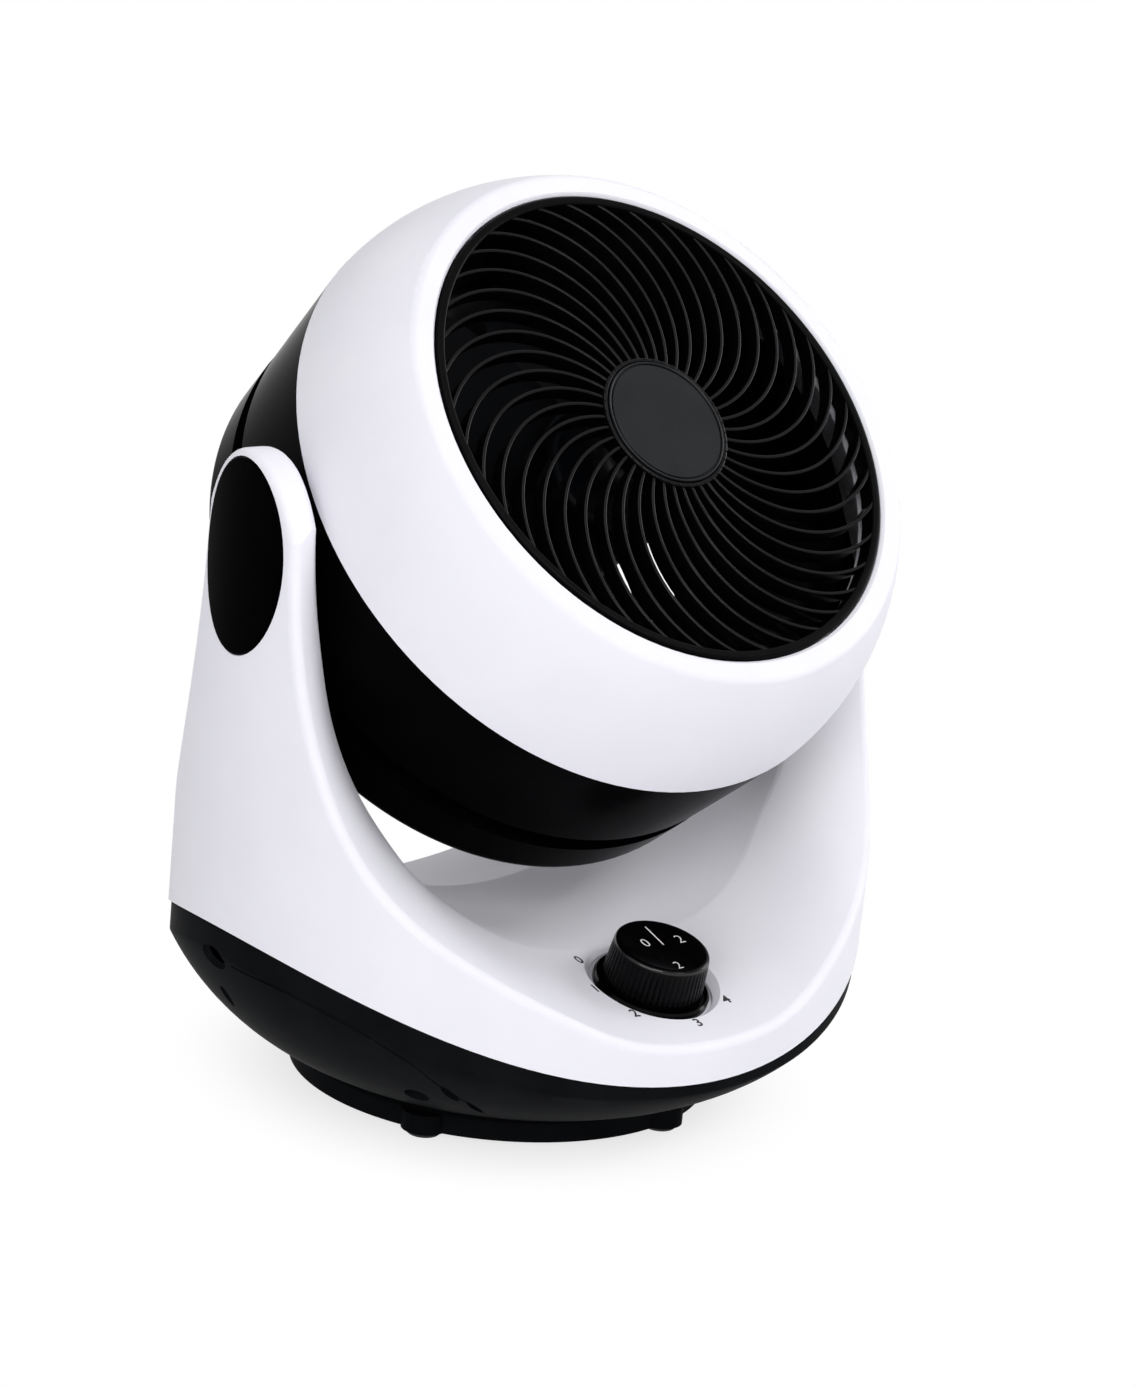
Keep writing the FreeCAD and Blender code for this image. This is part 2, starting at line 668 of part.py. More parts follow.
def blade_section(radius, chord, pitch):
    # Lens section of a blade, leading edge low and ahead, trailing edge high and behind.
    angle = math.radians(pitch)
    along = Vec(0, math.cos(angle), -math.sin(angle))
    hollow = Vec(0, -math.sin(angle), -math.cos(angle))
    middle = Vec(radius, 0, BLADE_MID_A)
    lead = middle + along * (chord / 2)
    trail = middle - along * (chord / 2)
    edges = [Part.Arc(lead, middle + hollow * (BLADE_CAMBER + BLADE_THICK), trail).toShape(),
             Part.Arc(trail, middle + hollow * BLADE_CAMBER, lead).toShape()]
    return Part.Wire(edges)


def impeller():
    sections = [blade_section(*place) for place in (BLADE_ROOT, BLADE_MIDDLE, BLADE_TIP)]
    blade = Part.makeLoft(sections, True, False)
    chord = BLADE_ROOT[1]
    blade = blade.common(cylinder(IMPELLER_R, BLADE_MID_A - chord, BLADE_MID_A + chord))
    front = IMPELLER_FRONT_A
    back = IMPELLER_BACK_A
    wall = IMPELLER_WALL
    bend = IMPELLER_BEND
    inside = bend * (1 - math.sqrt(0.5))
    bore = SHAFT_R + SHAFT_FIT
    boss = back + IMPELLER_BOSS_BACK
    hub = turned((IMPELLER_HUB_R, back), (IMPELLER_HUB_R, front - bend),
                 ((IMPELLER_HUB_R - inside, front - inside), (IMPELLER_HUB_R - bend, front)),
                 (bore, front), (bore, boss), (IMPELLER_BOSS_R, boss),
                 (IMPELLER_BOSS_R, front - wall), (IMPELLER_HUB_R - wall, front - wall),
                 (IMPELLER_HUB_R - wall, back))
    return hub.multiFuse(around(blade, BLADE_COUNT)).removeSplitter()


def spinner_nut():
    low = IMPELLER_FRONT_A + SEAT_GAP
    top = low + NUT_HEIGHT
    bore_r = SHAFT_R + SHAFT_FIT
    bore_top = SHAFT_FRONT_A + SEAT_GAP
    return turned((bore_r, low), (NUT_R, low), (NUT_R, low + NUT_SIDE),
                  ((NUT_R * NUT_BULGE, low + NUT_HEIGHT * NUT_BULGE), (NUT_TIP_R, top)), (0, top),
                  (0, bore_top), (bore_r, bore_top))


def trunnion_pins():
    pin = bar_x(PIN_R, PIN_INNER_X, PIN_OUTER_X)
    head = bar_x(PIN_HEAD_R, PIN_OUTER_X, PIN_OUTER_X + PIN_HEAD)
    one = pin.fuse(head).removeSplitter()
    return Part.makeCompound([one, mirrored_x(one)])


def friction_washers():
    low = BOSS_FACE_X + SEAT_GAP
    high = SEAT_X - SPLIT_GAP
    one = bar_x(WASHER_R, low, high).cut(bar_x(PIN_R + SEAT_GAP, low - THROUGH, high + THROUGH))
    return Part.makeCompound([one, mirrored_x(one)])


def trunnion_bushes():
    # Flanged plain bearings pressed through the inner walls of the arms.
    flange = BUSH_OUTER_X - BUSH_FLANGE
    body = bar_x(BUSH_R, BUSH_INNER_X, BUSH_OUTER_X, PIVOT.y, PIVOT.z)
    ring = bar_x(BUSH_FLANGE_R, flange, BUSH_OUTER_X, PIVOT.y, PIVOT.z)
    bore = bar_x(PIN_R + RUN_FIT, BUSH_INNER_X - THROUGH, BUSH_OUTER_X + THROUGH, PIVOT.y, PIVOT.z)
    one = body.fuse(ring).cut(bore).removeSplitter()
    return Part.makeCompound([one, mirrored_x(one)])


def oval_prism(inset, low, high):
    ellipse = Part.Ellipse(Vec(0, OVAL_Y, low), OVAL_A - inset, OVAL_B - inset)
    return Part.Face(Part.Wire(ellipse.toShape())).extrude(Vec(0, 0, high - low))


def rim_drum(extra):
    # Horizontal cylinder whose underside is the curved parting line between yoke and tray.
    reach = 2 * OVAL_B
    centre = Vec(0, OVAL_Y - reach / 2, RIM_LOW_Z + RIM_ARC_R)
    return Part.makeCylinder(RIM_ARC_R + extra, reach, centre, Y_AXIS)


def trough(inset):
    # Valley under the head, a superellipse in section, run from front to back.
    half = TROUGH_HALF + inset
    drop = TROUGH_CENTRE_Z - TROUGH_FLOOR_Z + inset
    points = []
    for step in range(-6, 7):
        angle = math.radians(step * 15)
        side = math.copysign(abs(math.sin(angle)) ** (2 / TROUGH_POWER), step)
        deep = math.cos(angle) ** (2 / TROUGH_POWER) if abs(step) < 6 else 0.0
        points.append(Vec(half * side, -2 * OVAL_B, TROUGH_CENTRE_Z - drop * deep))
    curve = Part.BSplineCurve()
    curve.interpolate(points)
    top = YOKE_TOP_Z
    left = Vec(points[0].x, points[0].y, top)
    right = Vec(points[-1].x, points[-1].y, top)
    edges = [curve.toShape(), Part.makeLine(points[-1], right), Part.makeLine(right, left),
             Part.makeLine(left, points[0])]
    return Part.Face(Part.Wire(edges)).extrude(Vec(0, 4 * OVAL_B, 0))


def ribbon_cutter(ridge, crest, side, inset):
    # Solid beyond the ribbon that joins a ridge on the outer wall to a crest on the trough.
    outer_points = []
    inner_points = []
    for (angle, height), (share, y, z) in zip(ridge, crest):
        turn = math.radians(angle)
        top = Vec(OVAL_A * math.sin(turn), OVAL_Y + side * OVAL_B * math.cos(turn), height)
        low = Vec(share * TROUGH_HALF, y, z)
        outer_points.append(top + (top - low) * RIDGE_OVERRUN)
        inner_points.append(low - (top - low) * CREST_OVERRUN)
    faces = []
    for points in (outer_points, inner_points):
        left = [Vec(-p.x, p.y, p.z) for p in reversed(points[1:])]
        curve = Part.BSplineCurve()
        curve.interpolate(Points=left + points, Parameters=[float(n) for n in range(2 * len(points) - 1)])
        faces.append(curve.toShape())
    ribbon = Part.makeRuledSurface(faces[0], faces[1])
    ribbon.translate(Vec(0, -side * inset, -inset))
    return ribbon.extrude(Vec(0, side * YOKE_TOP_Z, YOKE_TOP_Z))


def arch_waste(inset):
    # Everything above the springing height that lies outside the rounded tops of the arms.
    side = -2 * OVAL_A
    block = Part.makeBox(4 * OVAL_A, 4 * OVAL_B, YOKE_TOP_Z, Vec(side, -2 * OVAL_B, ARCH_Z))
    top = Vec(side, ARCH_Y, ARCH_Z + ARCH_RISE - inset)
    flank = Vec(side, ARCH_Y + ARCH_HALF - inset, ARCH_Z)
    oval = Part.Ellipse(top, flank, Vec(side, ARCH_Y, ARCH_Z))
    keep = Part.Face(Part.Wire(oval.toShape())).extrude(Vec(4 * OVAL_A, 0, 0))
    return block.cut(keep)


def yoke_form(inset, low):
    body = oval_prism(inset, low, ARCH_Z + ARCH_RISE + THROUGH)
    body = body.cut(trough(inset))
    body = body.cut(ribbon_cutter(RIDGE_FRONT, CREST_FRONT, -1, inset))
    body = body.cut(ribbon_cutter(RIDGE_REAR, CREST_REAR, 1, inset))
    return body.cut(arch_waste(inset)).Solids[0]


def middle_of(edge):
    low, high = edge.ParameterRange
    return edge.valueAt((low + high) / 2)


def on_oval(point, inset):
    across = point.x / (OVAL_A - inset)
    along = (point.y - OVAL_Y) / (OVAL_B - inset)
    return abs(across ** 2 + along ** 2 - 1) < ON_OVAL


def rounded_yoke():
    # The outer form with its ridges, on the oval, and its crests, along the valley, rounded over.
    body = yoke_form(0, 0)
    ridge = []
    crest = []
    for edge in body.Edges:
        if edge.Curve.TypeId == "Part::GeomLine" or edge.BoundBox.ZMax < RIM_LOW_Z:
            continue
        if on_oval(middle_of(edge), 0):
            ridge.append(edge)
        elif edge.BoundBox.XLength > TROUGH_HALF or edge.BoundBox.XLength < THROUGH:
            crest.append(edge)
    return body.makeFillet(RIDGE_ROUND, ridge).makeFillet(CREST_ROUND, crest)


def cap_prism(inset, low, high):
    top = Vec(low, CAP_Y, CAP_Z + CAP_HALF_Z - inset)
    flank = Vec(low, CAP_Y + CAP_HALF_Y - inset, CAP_Z)
    oval = Part.Ellipse(top, flank, Vec(low, CAP_Y, CAP_Z))
    return Part.Face(Part.Wire(oval.toShape())).extrude(Vec(high - low, 0, 0))


def well_places():
    return [(sx * WELL_X, OVAL_Y + sy * WELL_Y) for sx in (-1, 1) for sy in (-1, 1)]


def yoke_shell():
    # White one-piece shell: skirt, ramps, trough and two hollow arms, open underneath.
    solid = rounded_yoke().common(rim_drum(0))
    shell = solid.cut(yoke_form(SKIN, -THROUGH))
    dial = on_dial(cylinder(DIAL_BOSS_R, -DIAL_BOSS, KNOB_TOP)).common(solid)
    foot = WELL_TOP_Z + SEAT_GAP
    posts = [cylinder(POST_R, foot, YOKE_TOP_Z, x, y).common(solid) for x, y in well_places()]
    shell = shell.multiFuse([dial] + posts)
    brim = DIAL_RECESS_R + DIAL_EDGE + DIAL_FLARE
    recess = turned((0, -DIAL_RECESS), (DIAL_RECESS_R, -DIAL_RECESS), (DIAL_RECESS_R, -DIAL_EDGE),
                    (brim, DIAL_FLARE), (brim, KNOB_TOP), (0, KNOB_TOP))
    cuts = [on_dial(recess), on_dial(cylinder(SWITCH_NECK_R + SLIDE_GAP, -DIAL_BOSS - THROUGH, 0))]
    shoulder = BUSH_OUTER_X - BUSH_FLANGE
    holes = [bar_x(SEAT_R, SEAT_X - SEAT_R, SEAT_X, PIVOT.y, PIVOT.z),
             bar_x(BUSH_R + RUN_FIT, SEAT_X - THROUGH, shoulder, PIVOT.y, PIVOT.z),
             bar_x(BUSH_FLANGE_R + SEAT_GAP, shoulder - SEAT_GAP, OVAL_A, PIVOT.y, PIVOT.z),
             cap_prism(-SLIDE_GAP, BUSH_OUTER_X + CAP_FLOOR, OVAL_A + THROUGH)]
    cuts += holes + [mirrored_x(hole) for hole in holes]
    screw_end = WELL_SHELF_Z + TRAY_SCREW_LENGTH + THROUGH
    cuts += [cylinder(SCREW_R + RUN_FIT, WELL_TOP_Z - THROUGH, screw_end, x, y) for x, y in well_places()]
    return shell.cut(cuts).removeSplitter()


def pivot_cap():
    # Oval cap that follows the arm's outer wall, with a skirt inside the opening.
    span = (OVAL_A - CAP_REACH, OVAL_A + CAP_PROUD + THROUGH)
    plate = wall_band(-CAP_PROUD, CAP_DEPTH).common(cap_prism(0, *span)).Solids[0]
    face_edges = [edge for edge in plate.Edges if on_oval(middle_of(edge), -CAP_PROUD)]
    plate = plate.makeFillet(CAP_ROUND, face_edges)
    skirt = cap_prism(SLIDE_GAP, *span).cut(cap_prism(SLIDE_GAP + CAP_SKIRT_WALL, *span))
    skirt = skirt.common(wall_band(CAP_DEPTH / 2, CAP_DEPTH + CAP_SKIRT))
    return plate.fuse(skirt).removeSplitter()


def wall_band(near, far):
    # Upright oval band between two insets from the yoke's outer wall.
    return oval_prism(near, 0, YOKE_TOP_Z).cut(oval_prism(far, -THROUGH, YOKE_TOP_Z + THROUGH))


def bowl(inset, low):
    # Round bowl that the oval tray is cut from.
    middle = (TRAY_MID[0] - inset * BOWL_LEAN[0], TRAY_MID[1] + inset * BOWL_LEAN[1])
    rim = TRAY_TOP[0] - inset
    body = turned((0, low), (TRAY_BOTTOM_R - inset / 3, low), (middle, (rim, TRAY_TOP[1])),
                  (rim, PIVOT.z), (0, PIVOT.z))
    body.translate(Vec(0, OVAL_Y, 0))
    return body


def base_tray():
    # Black underside: oval bowl with a lip inside the shell, screw wells and the swivel hub.
    outer = oval_prism(TRAY_INSET, 0, PIVOT.z).common(bowl(0, TRAY_BOTTOM_Z)).Solids[0]
    brink = [edge for edge in outer.Edges if on_oval(middle_of(edge), TRAY_INSET)]
    brink = [edge for edge in brink if edge.BoundBox.ZMin < RIM_LOW_Z]
    outer = outer.makeFillet(TRAY_ROUND, brink)
    inner = oval_prism(TRAY_INSET + SKIN, 0, PIVOT.z).common(bowl(SKIN, TRAY_BOTTOM_Z + SKIN))
    back = OVAL_Y + OVAL_B
    tray = outer.cut(inner).cut(rim_drum(SPLIT_GAP))
    tray = tray.cut(rear_bar(INLET_R + SEAT_GAP, back - 2 * INLET_LENGTH, back + THROUGH))
    lip = SKIN + SLIDE_GAP
    ring = wall_band(lip, lip + TRAY_LIP_WALL).common(yoke_form(lip, 0))
    ring = ring.common(rim_drum(LIP_REACH)).cut(rim_drum(-TRAY_LIP)).common(bowl(0, TRAY_BOTTOM_Z))
    ring = ring.cut(rear_bar(INLET_FLANGE_R + SKIN, back - 2 * INLET_LENGTH, back + THROUGH))
    hub = cylinder(HUB_R, TRAY_BOTTOM_Z, HUB_TOP_Z)
    well = WELL_R + WELL_WALL
    wells = [cylinder(well, TRAY_BOTTOM_Z, WELL_TOP_Z, x, y).common(outer) for x, y in well_places()]
    tray = tray.multiFuse([ring, hub] + wells)
    cuts = [cylinder(SPINE_R + RUN_FIT, TRAY_BOTTOM_Z - THROUGH, HUB_TOP_Z + THROUGH)]
    for x, y in well_places():
        cuts.append(cylinder(WELL_R, 0, WELL_SHELF_Z, x, y))
        cuts.append(cylinder(SCREW_R + SEAT_GAP, WELL_SHELF_Z - THROUGH, WELL_TOP_Z + THROUGH, x, y))
    return tray.cut(cuts).removeSplitter()


def tray_screws():
    solids = []
    for x, y in well_places():
        one = screw(TRAY_SCREW_LENGTH)
        one.translate(Vec(x, y, WELL_SHELF_Z - SEAT_GAP / 2))
        solids.append(one)
    return Part.makeCompound(solids)


def dial_collar():
    low = SEAT_GAP - DIAL_RECESS
    bore = SWITCH_NECK_R + SLIDE_GAP
    return turned((bore, low), (COLLAR_R, low), (COLLAR_R, -COLLAR_EDGE), (COLLAR_R - COLLAR_EDGE, 0),
                  (COLLAR_LIP_R + COLLAR_EDGE, 0), (COLLAR_LIP_R, COLLAR_FLOOR), (bore, COLLAR_FLOOR))


def fluted_wire(radius, height):
    points = []
    for index in range(2 * FLUTE_COUNT):
        depth = FLUTE_DEPTH * (index % 2)
        points.append(Vec(*polar(radius - depth, index * 180.0 / FLUTE_COUNT), height))
    return Part.makePolygon(points + points[:1])


def speed_knob():
    edge = KNOB_TOP - KNOB_TOP_EDGE
    body = Part.makeLoft([fluted_wire(KNOB_R, KNOB_BOTTOM), fluted_wire(KNOB_TOP_R, edge)], True, True)
    crown = KNOB_TOP_R - FLUTE_DEPTH
    top = turned((0, edge), (crown, edge), (crown - KNOB_TOP_EDGE, KNOB_TOP), (0, KNOB_TOP))
    pocket = tube(KNOB_HUB_R, KNOB_POCKET_R, KNOB_BOTTOM - THROUGH, KNOB_POCKET_TOP)
    bore = cylinder(SPINDLE_R + PRESS_FIT, KNOB_BOTTOM - THROUGH, SPINDLE_TOP + SEAT_GAP)
    return body.fuse(top).cut([pocket, bore]).removeSplitter()


def switch_spindle():
    return cylinder(SPINDLE_R, SPINDLE_BOTTOM, SPINDLE_TOP)


def rotary_switch():
    half = SWITCH_SIDE / 2
    deep = SWITCH_TOP - SWITCH_BOTTOM
    case = Part.makeBox(SWITCH_SIDE, SWITCH_SIDE, deep, Vec(-half, -half, SWITCH_BOTTOM))
    case = case.makeFillet(SWITCH_CORNER, [edge for edge in case.Edges if abs(edge.tangentAt(0).z) > 0.5])
    neck = cylinder(SWITCH_NECK_R, SWITCH_TOP, -DIAL_RECESS - SEAT_GAP)
    tabs = []
    for index in range(TAB_COUNT):
        x = (index - (TAB_COUNT - 1) / 2) * TAB_PITCH - TAB_WIDTH / 2
        corner = Vec(x, half - TAB_INSET, SWITCH_BOTTOM - TAB_LENGTH)
        tabs.append(Part.makeBox(TAB_WIDTH, TAB_THICK, TAB_LENGTH + THROUGH, corner))
    body = case.multiFuse([neck] + tabs)
    return body.cut(cylinder(SPINDLE_R + RUN_FIT, SPINDLE_BOTTOM - SEAT_GAP, 0)).removeSplitter()


def cord_inlet():
    # Flanged liner of the cord's entry hole in the rear of the tray.
    wall = OVAL_Y + OVAL_B - TRAY_INSET
    liner = rear_bar(INLET_R, wall - INLET_LENGTH, wall + INLET_FLANGE)
    flange = rear_bar(INLET_FLANGE_R, wall + SEAT_GAP, wall + INLET_FLANGE)
    bore = rear_bar(INLET_BORE_R, wall - INLET_LENGTH - THROUGH, wall + INLET_FLANGE + THROUGH)
    return liner.fuse(flange).cut(bore).removeSplitter()


def rear_bar(radius, low, high):
    return Part.makeCylinder(radius, high - low, Vec(0, low, INLET_Z), Y_AXIS)


def lug_places():
    return [polar(LUG_RING_R, LUG_FIRST - 90 + index * 360.0 / LUG_COUNT) for index in range(LUG_COUNT)]


def pedestal_plate():
    # Round foot: skirted disc with lugs for the pads and a thick centre for the spine.
    top = PEDESTAL_TOP_Z
    ceiling = top - PEDESTAL_PLATE
    seat = SPINE_FLANGE_Z + SPINE_FLANGE + SEAT_GAP
    bore = SPINE_R + RUN_FIT
    inside = PEDESTAL_R - SKIN
    core = SPINE_FLANGE_R + CORE_MARGIN
    disc = turned((bore, top), (PEDESTAL_R - PEDESTAL_EDGE, top), (PEDESTAL_R, top - PEDESTAL_EDGE),
                  (PEDESTAL_R, PEDESTAL_FOOT_Z), (inside, PEDESTAL_FOOT_Z), (inside, ceiling),
                  (core + CORE_MARGIN, ceiling), (core, seat), (bore, seat))
    lugs = [cylinder(LUG_R, PEDESTAL_FOOT_Z, top - PEDESTAL_EDGE, x, y) for x, y in lug_places()]
    cuts = [cylinder(PAD_R + SEAT_GAP, 0, PAD_HEIGHT + SEAT_GAP, x, y) for x, y in lug_places()]
    x, y = polar(SPINE_SCREW_RING_R, 0)
    cuts += around(cylinder(SCREW_R + RUN_FIT, 0, top - THROUGH, x, y), SPINE_SCREW_COUNT)
    return disc.multiFuse(lugs).cut(cuts).removeSplitter()


def foot_pads():
    pads = []
    for x, y in lug_places():
        pad = bevelled_pad(PAD_R, PAD_HEIGHT)
        pad.translate(Vec(x, y, 0))
        pads.append(pad)
    return Part.makeCompound(pads)


def bevelled_pad(radius, height):
    return turned((0, 0), (radius - PAD_EDGE, 0), (radius, PAD_EDGE), (radius, height), (0, height))


def centre_pad():
    return bevelled_pad(CENTRE_PAD_R, SPINE_FLANGE_Z - SEAT_GAP)


def swivel_spine():
    # Hollow post the base turns on, flanged under the pedestal.
    flange = SPINE_FLANGE_Z + SPINE_FLANGE
    post = turned((SPINE_BORE_R, SPINE_FLANGE_Z), (SPINE_FLANGE_R, SPINE_FLANGE_Z), (SPINE_FLANGE_R, flange),
                  (SPINE_R, flange), (SPINE_R, SPINE_TOP_Z - SPINE_EDGE), (SPINE_R - SPINE_EDGE, SPINE_TOP_Z),
                  (SPINE_BORE_R, SPINE_TOP_Z))
    x, y = polar(SPINE_SCREW_RING_R, 0)
    return post.cut(around(cylinder(SCREW_R + SEAT_GAP, 0, flange + THROUGH, x, y), SPINE_SCREW_COUNT))


def spine_screws():
    x, y = polar(SPINE_SCREW_RING_R, 0)
    one = screw(SPINE_SCREW_LENGTH)
    one.translate(Vec(x, y, SPINE_FLANGE_Z - SEAT_GAP / 2))
    return Part.makeCompound(around(one, SPINE_SCREW_COUNT))


def thrust_washer():
    return tube(THRUST_R_IN, THRUST_R_OUT, PEDESTAL_TOP_Z + SEAT_GAP, TRAY_BOTTOM_Z - SLIDE_GAP)


def retaining_clip():
    ring = tube(SPINE_R + PRESS_FIT, CLIP_R, CLIP_Z, CLIP_Z + CLIP_THICK)
    mouth = Part.makeBox(SPINE_R, 2 * CLIP_R, 2 * CLIP_Z, Vec(-SPINE_R / 2, -2 * CLIP_R, 0))
    return ring.cut(mouth)


def tooth_points(teeth, angle):
    # One involute tooth about a direction, from root to root, thinned by the backlash.
    pitch = GEAR_MODULE * teeth / 2
    base = pitch * math.cos(PRESSURE_ANGLE)
    root = pitch - DEDENDUM * GEAR_MODULE
    tip = pitch + GEAR_MODULE
    half = (math.pi * GEAR_MODULE - GEAR_BACKLASH) / 4 / pitch + involute(PRESSURE_ANGLE)
    start = max(base, root)
    flank = []
    for step in range(FLANK_STEPS + 1):
        radius = start + (tip - start) * step / FLANK_STEPS
        flank.append((radius, half - involute(math.acos(base / radius))))
    if root < base:
        flank.insert(0, (root, half))
    right = [polar(radius, angle - math.degrees(offset)) for radius, offset in flank]
    left = [polar(radius, angle + math.degrees(offset)) for radius, offset in reversed(flank)]
    return right + left


def involute(angle):
    return math.tan(angle) - angle


def gear_face(points):
    loop = [Vec(x, y, GEAR_Z) for x, y in points]
    return Part.Face(Part.makePolygon(loop + loop[:1])).extrude(Vec(0, 0, GEAR_WIDTH))


def sector_gear():
    # Toothed sector fixed to the spine, facing the back.
    points = [polar(SPINE_R + SECTOR_RIM / 2, 90 + side * SECTOR_WEB_HALF) for side in (1, -1)]
    pitch = 360.0 / SECTOR_TEETH
    for index in range(-SECTOR_HALF_TEETH, SECTOR_HALF_TEETH + 1):
        points += tooth_points(SECTOR_TEETH, 90 + index * pitch)
    web = gear_face(points)
    ring = cylinder(SPINE_R + SECTOR_RIM, GEAR_Z, GEAR_Z + GEAR_WIDTH)
    return web.fuse(ring).cut(cylinder(SPINE_R + PRESS_FIT, 0, PIVOT.z)).removeSplitter()


def swing_distance():
    return GEAR_MODULE * (SECTOR_TEETH + PINION_TEETH) / 2


def swing_pinion():
    points = []
    pitch = 360.0 / PINION_TEETH
    for index in range(PINION_TEETH):
        points += tooth_points(PINION_TEETH, -90 + (index + 0.5) * pitch)
    gear = gear_face(points)
    shaft = cylinder(SWING_SHAFT_R, SWING_SHAFT_BOTTOM_Z, GEAR_Z + GEAR_WIDTH + SWING_SHAFT_PROUD)
    placed = gear.fuse(shaft).removeSplitter()
    placed.translate(Vec(0, swing_distance(), 0))
    return placed


def swing_motor():
    # Flat synchronous gear motor standing on the tray floor, with two ears.
    low = TRAY_BOTTOM_Z + SKIN + SEAT_GAP
    y = swing_distance()
    can = cylinder(SWING_R, low, SWING_TOP_Z, 0, y)
    ears = [cylinder(SWING_EAR_R, low, low + SWING_EAR, sign * SWING_EAR_SPAN, y) for sign in (-1, 1)]
    corner = Vec(-SWING_EAR_SPAN, y - SWING_EAR_R, low)
    bar = Part.makeBox(2 * SWING_EAR_SPAN, 2 * SWING_EAR_R, SWING_EAR, corner)
    cuts = [cylinder(SCREW_R + SEAT_GAP, 0, SWING_TOP_Z, sign * SWING_EAR_SPAN, y) for sign in (-1, 1)]
    socket = SWING_SHAFT_BOTTOM_Z - SEAT_GAP
    cuts.append(cylinder(SWING_SHAFT_R + RUN_FIT, socket, SWING_TOP_Z + THROUGH, 0, y))
    return can.multiFuse(ears + [bar]).cut(cuts).removeSplitter()


PIECES = {
    "front_ring": on_head(front_ring()),
    "front_grille": on_head(front_grille()),
    "grille_hub_cap": on_head(grille_hub_cap()),
    "fan_drum": on_head(fan_drum()),
    "rear_cover": on_head(rear_cover()),
    "cover_screws": on_head(cover_screws()),
    "motor_screws": on_head(motor_screws()),
    "motor_rear_bell": on_head(motor_rear_bell()),
    "motor_front_bell": on_head(motor_front_bell()),
    "motor_bearings": on_head(motor_bearings()),
    "motor_stator": on_head(motor_stator()),
    "stator_windings": on_head(stator_windings()),
    "trunnion_pins": on_head(trunnion_pins()),
    "friction_washers": on_head(friction_washers()),
    "rotor_core": on_head(rotor_core()),
    "motor_shaft": on_head(motor_shaft()),
    "impeller": on_head(impeller()),
    "spinner_nut": on_head(spinner_nut()),
    "yoke_shell": yoke_shell(),
    "left_pivot_cap": mirrored_x(pivot_cap()),
    "right_pivot_cap": pivot_cap(),
    "trunnion_bushes": trunnion_bushes(),
    "base_tray": base_tray(),
    "tray_screws": tray_screws(),
    "cord_inlet": cord_inlet(),
    "dial_collar": on_dial(dial_collar()),
    "rotary_switch": on_dial(rotary_switch()),
    "speed_knob": on_dial(speed_knob()),
    "switch_spindle": on_dial(switch_spindle()),
    "swing_motor": swing_motor(),
    "swing_pinion": swing_pinion(),
    "pedestal_plate": pedestal_plate(),
    "foot_pads": foot_pads(),
    "centre_pad": centre_pad(),
    "swivel_spine": swivel_spine(),
    "spine_screws": spine_screws(),
    "thrust_washer": thrust_washer(),
    "retaining_clip": retaining_clip(),
    "sector_gear": sector_gear(),
}

for name, shape in PIECES.items():
    shape.exportStep(os.path.join("parts", name + ".step"))
    print(name, len(shape.Solids), round(shape.Volume, 1), shape.isValid())
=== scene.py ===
import json
import math
import bmesh
import bpy
from mathutils import Matrix, Vector
from mathutils.bvhtree import BVHTree


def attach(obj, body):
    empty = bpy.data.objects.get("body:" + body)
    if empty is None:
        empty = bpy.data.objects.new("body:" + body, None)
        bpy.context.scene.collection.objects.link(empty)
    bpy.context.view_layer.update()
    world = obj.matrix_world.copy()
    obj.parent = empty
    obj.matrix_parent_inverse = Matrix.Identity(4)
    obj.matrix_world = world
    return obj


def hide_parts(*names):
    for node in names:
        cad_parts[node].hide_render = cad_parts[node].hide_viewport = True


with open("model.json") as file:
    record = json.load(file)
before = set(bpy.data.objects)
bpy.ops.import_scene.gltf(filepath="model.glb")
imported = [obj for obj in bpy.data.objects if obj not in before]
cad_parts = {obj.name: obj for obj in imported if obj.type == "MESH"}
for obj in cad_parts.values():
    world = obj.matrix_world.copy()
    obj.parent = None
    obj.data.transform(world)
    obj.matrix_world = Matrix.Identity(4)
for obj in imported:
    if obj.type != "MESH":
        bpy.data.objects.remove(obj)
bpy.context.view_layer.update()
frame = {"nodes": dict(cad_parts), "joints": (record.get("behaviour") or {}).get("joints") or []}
nodes = frame["nodes"]
joints = {joint["name"]: joint for joint in frame["joints"]}
print("frame loaded:", len(nodes), "pieces from the solid model")

mm = 0.001


# Places taken from the joints: Z is the rotor's axis on the head and the knob's axis on the dial
def standOn(joint):
    up = Vector(joint["axis"]).normalized()
    side = Vector((1, 0, 0))
    turn = Matrix((side, up.cross(side), up)).transposed()
    return Matrix.Translation(Vector(joint["pos_m"])) @ turn.to_4x4()


onHead = standOn(joints["rotor_spin"])
onDial = standOn(joints["knob_turn"])

# Materials, with what all of them share
surface = dict(toneStops=(0.35, 0.65), toneDetail=3.0, gritDetail=2.0, relief=0.6, waver=0.4)
wavePeriod = math.pi / 10  # length of one wave in a wave texture of scale one


def toLinear(code):
    parts = [int(code[index:index + 2], 16) / 255 for index in (1, 3, 5)]
    linear = [part / 12.92 if part <= 0.04045 else ((part + 0.055) / 1.055) ** 2.4 for part in parts]
    return linear + [1.0]


def addNode(tree, kind, settings=None, links=None):
    node = tree.nodes.new(kind)
    for key, value in (settings or {}).items():
        if key in node.inputs:
            node.inputs[key].default_value = value
        else:
            setattr(node, key, value)
    for key, source in (links or {}).items():
        tree.links.new(source, node.inputs[key])
    return node


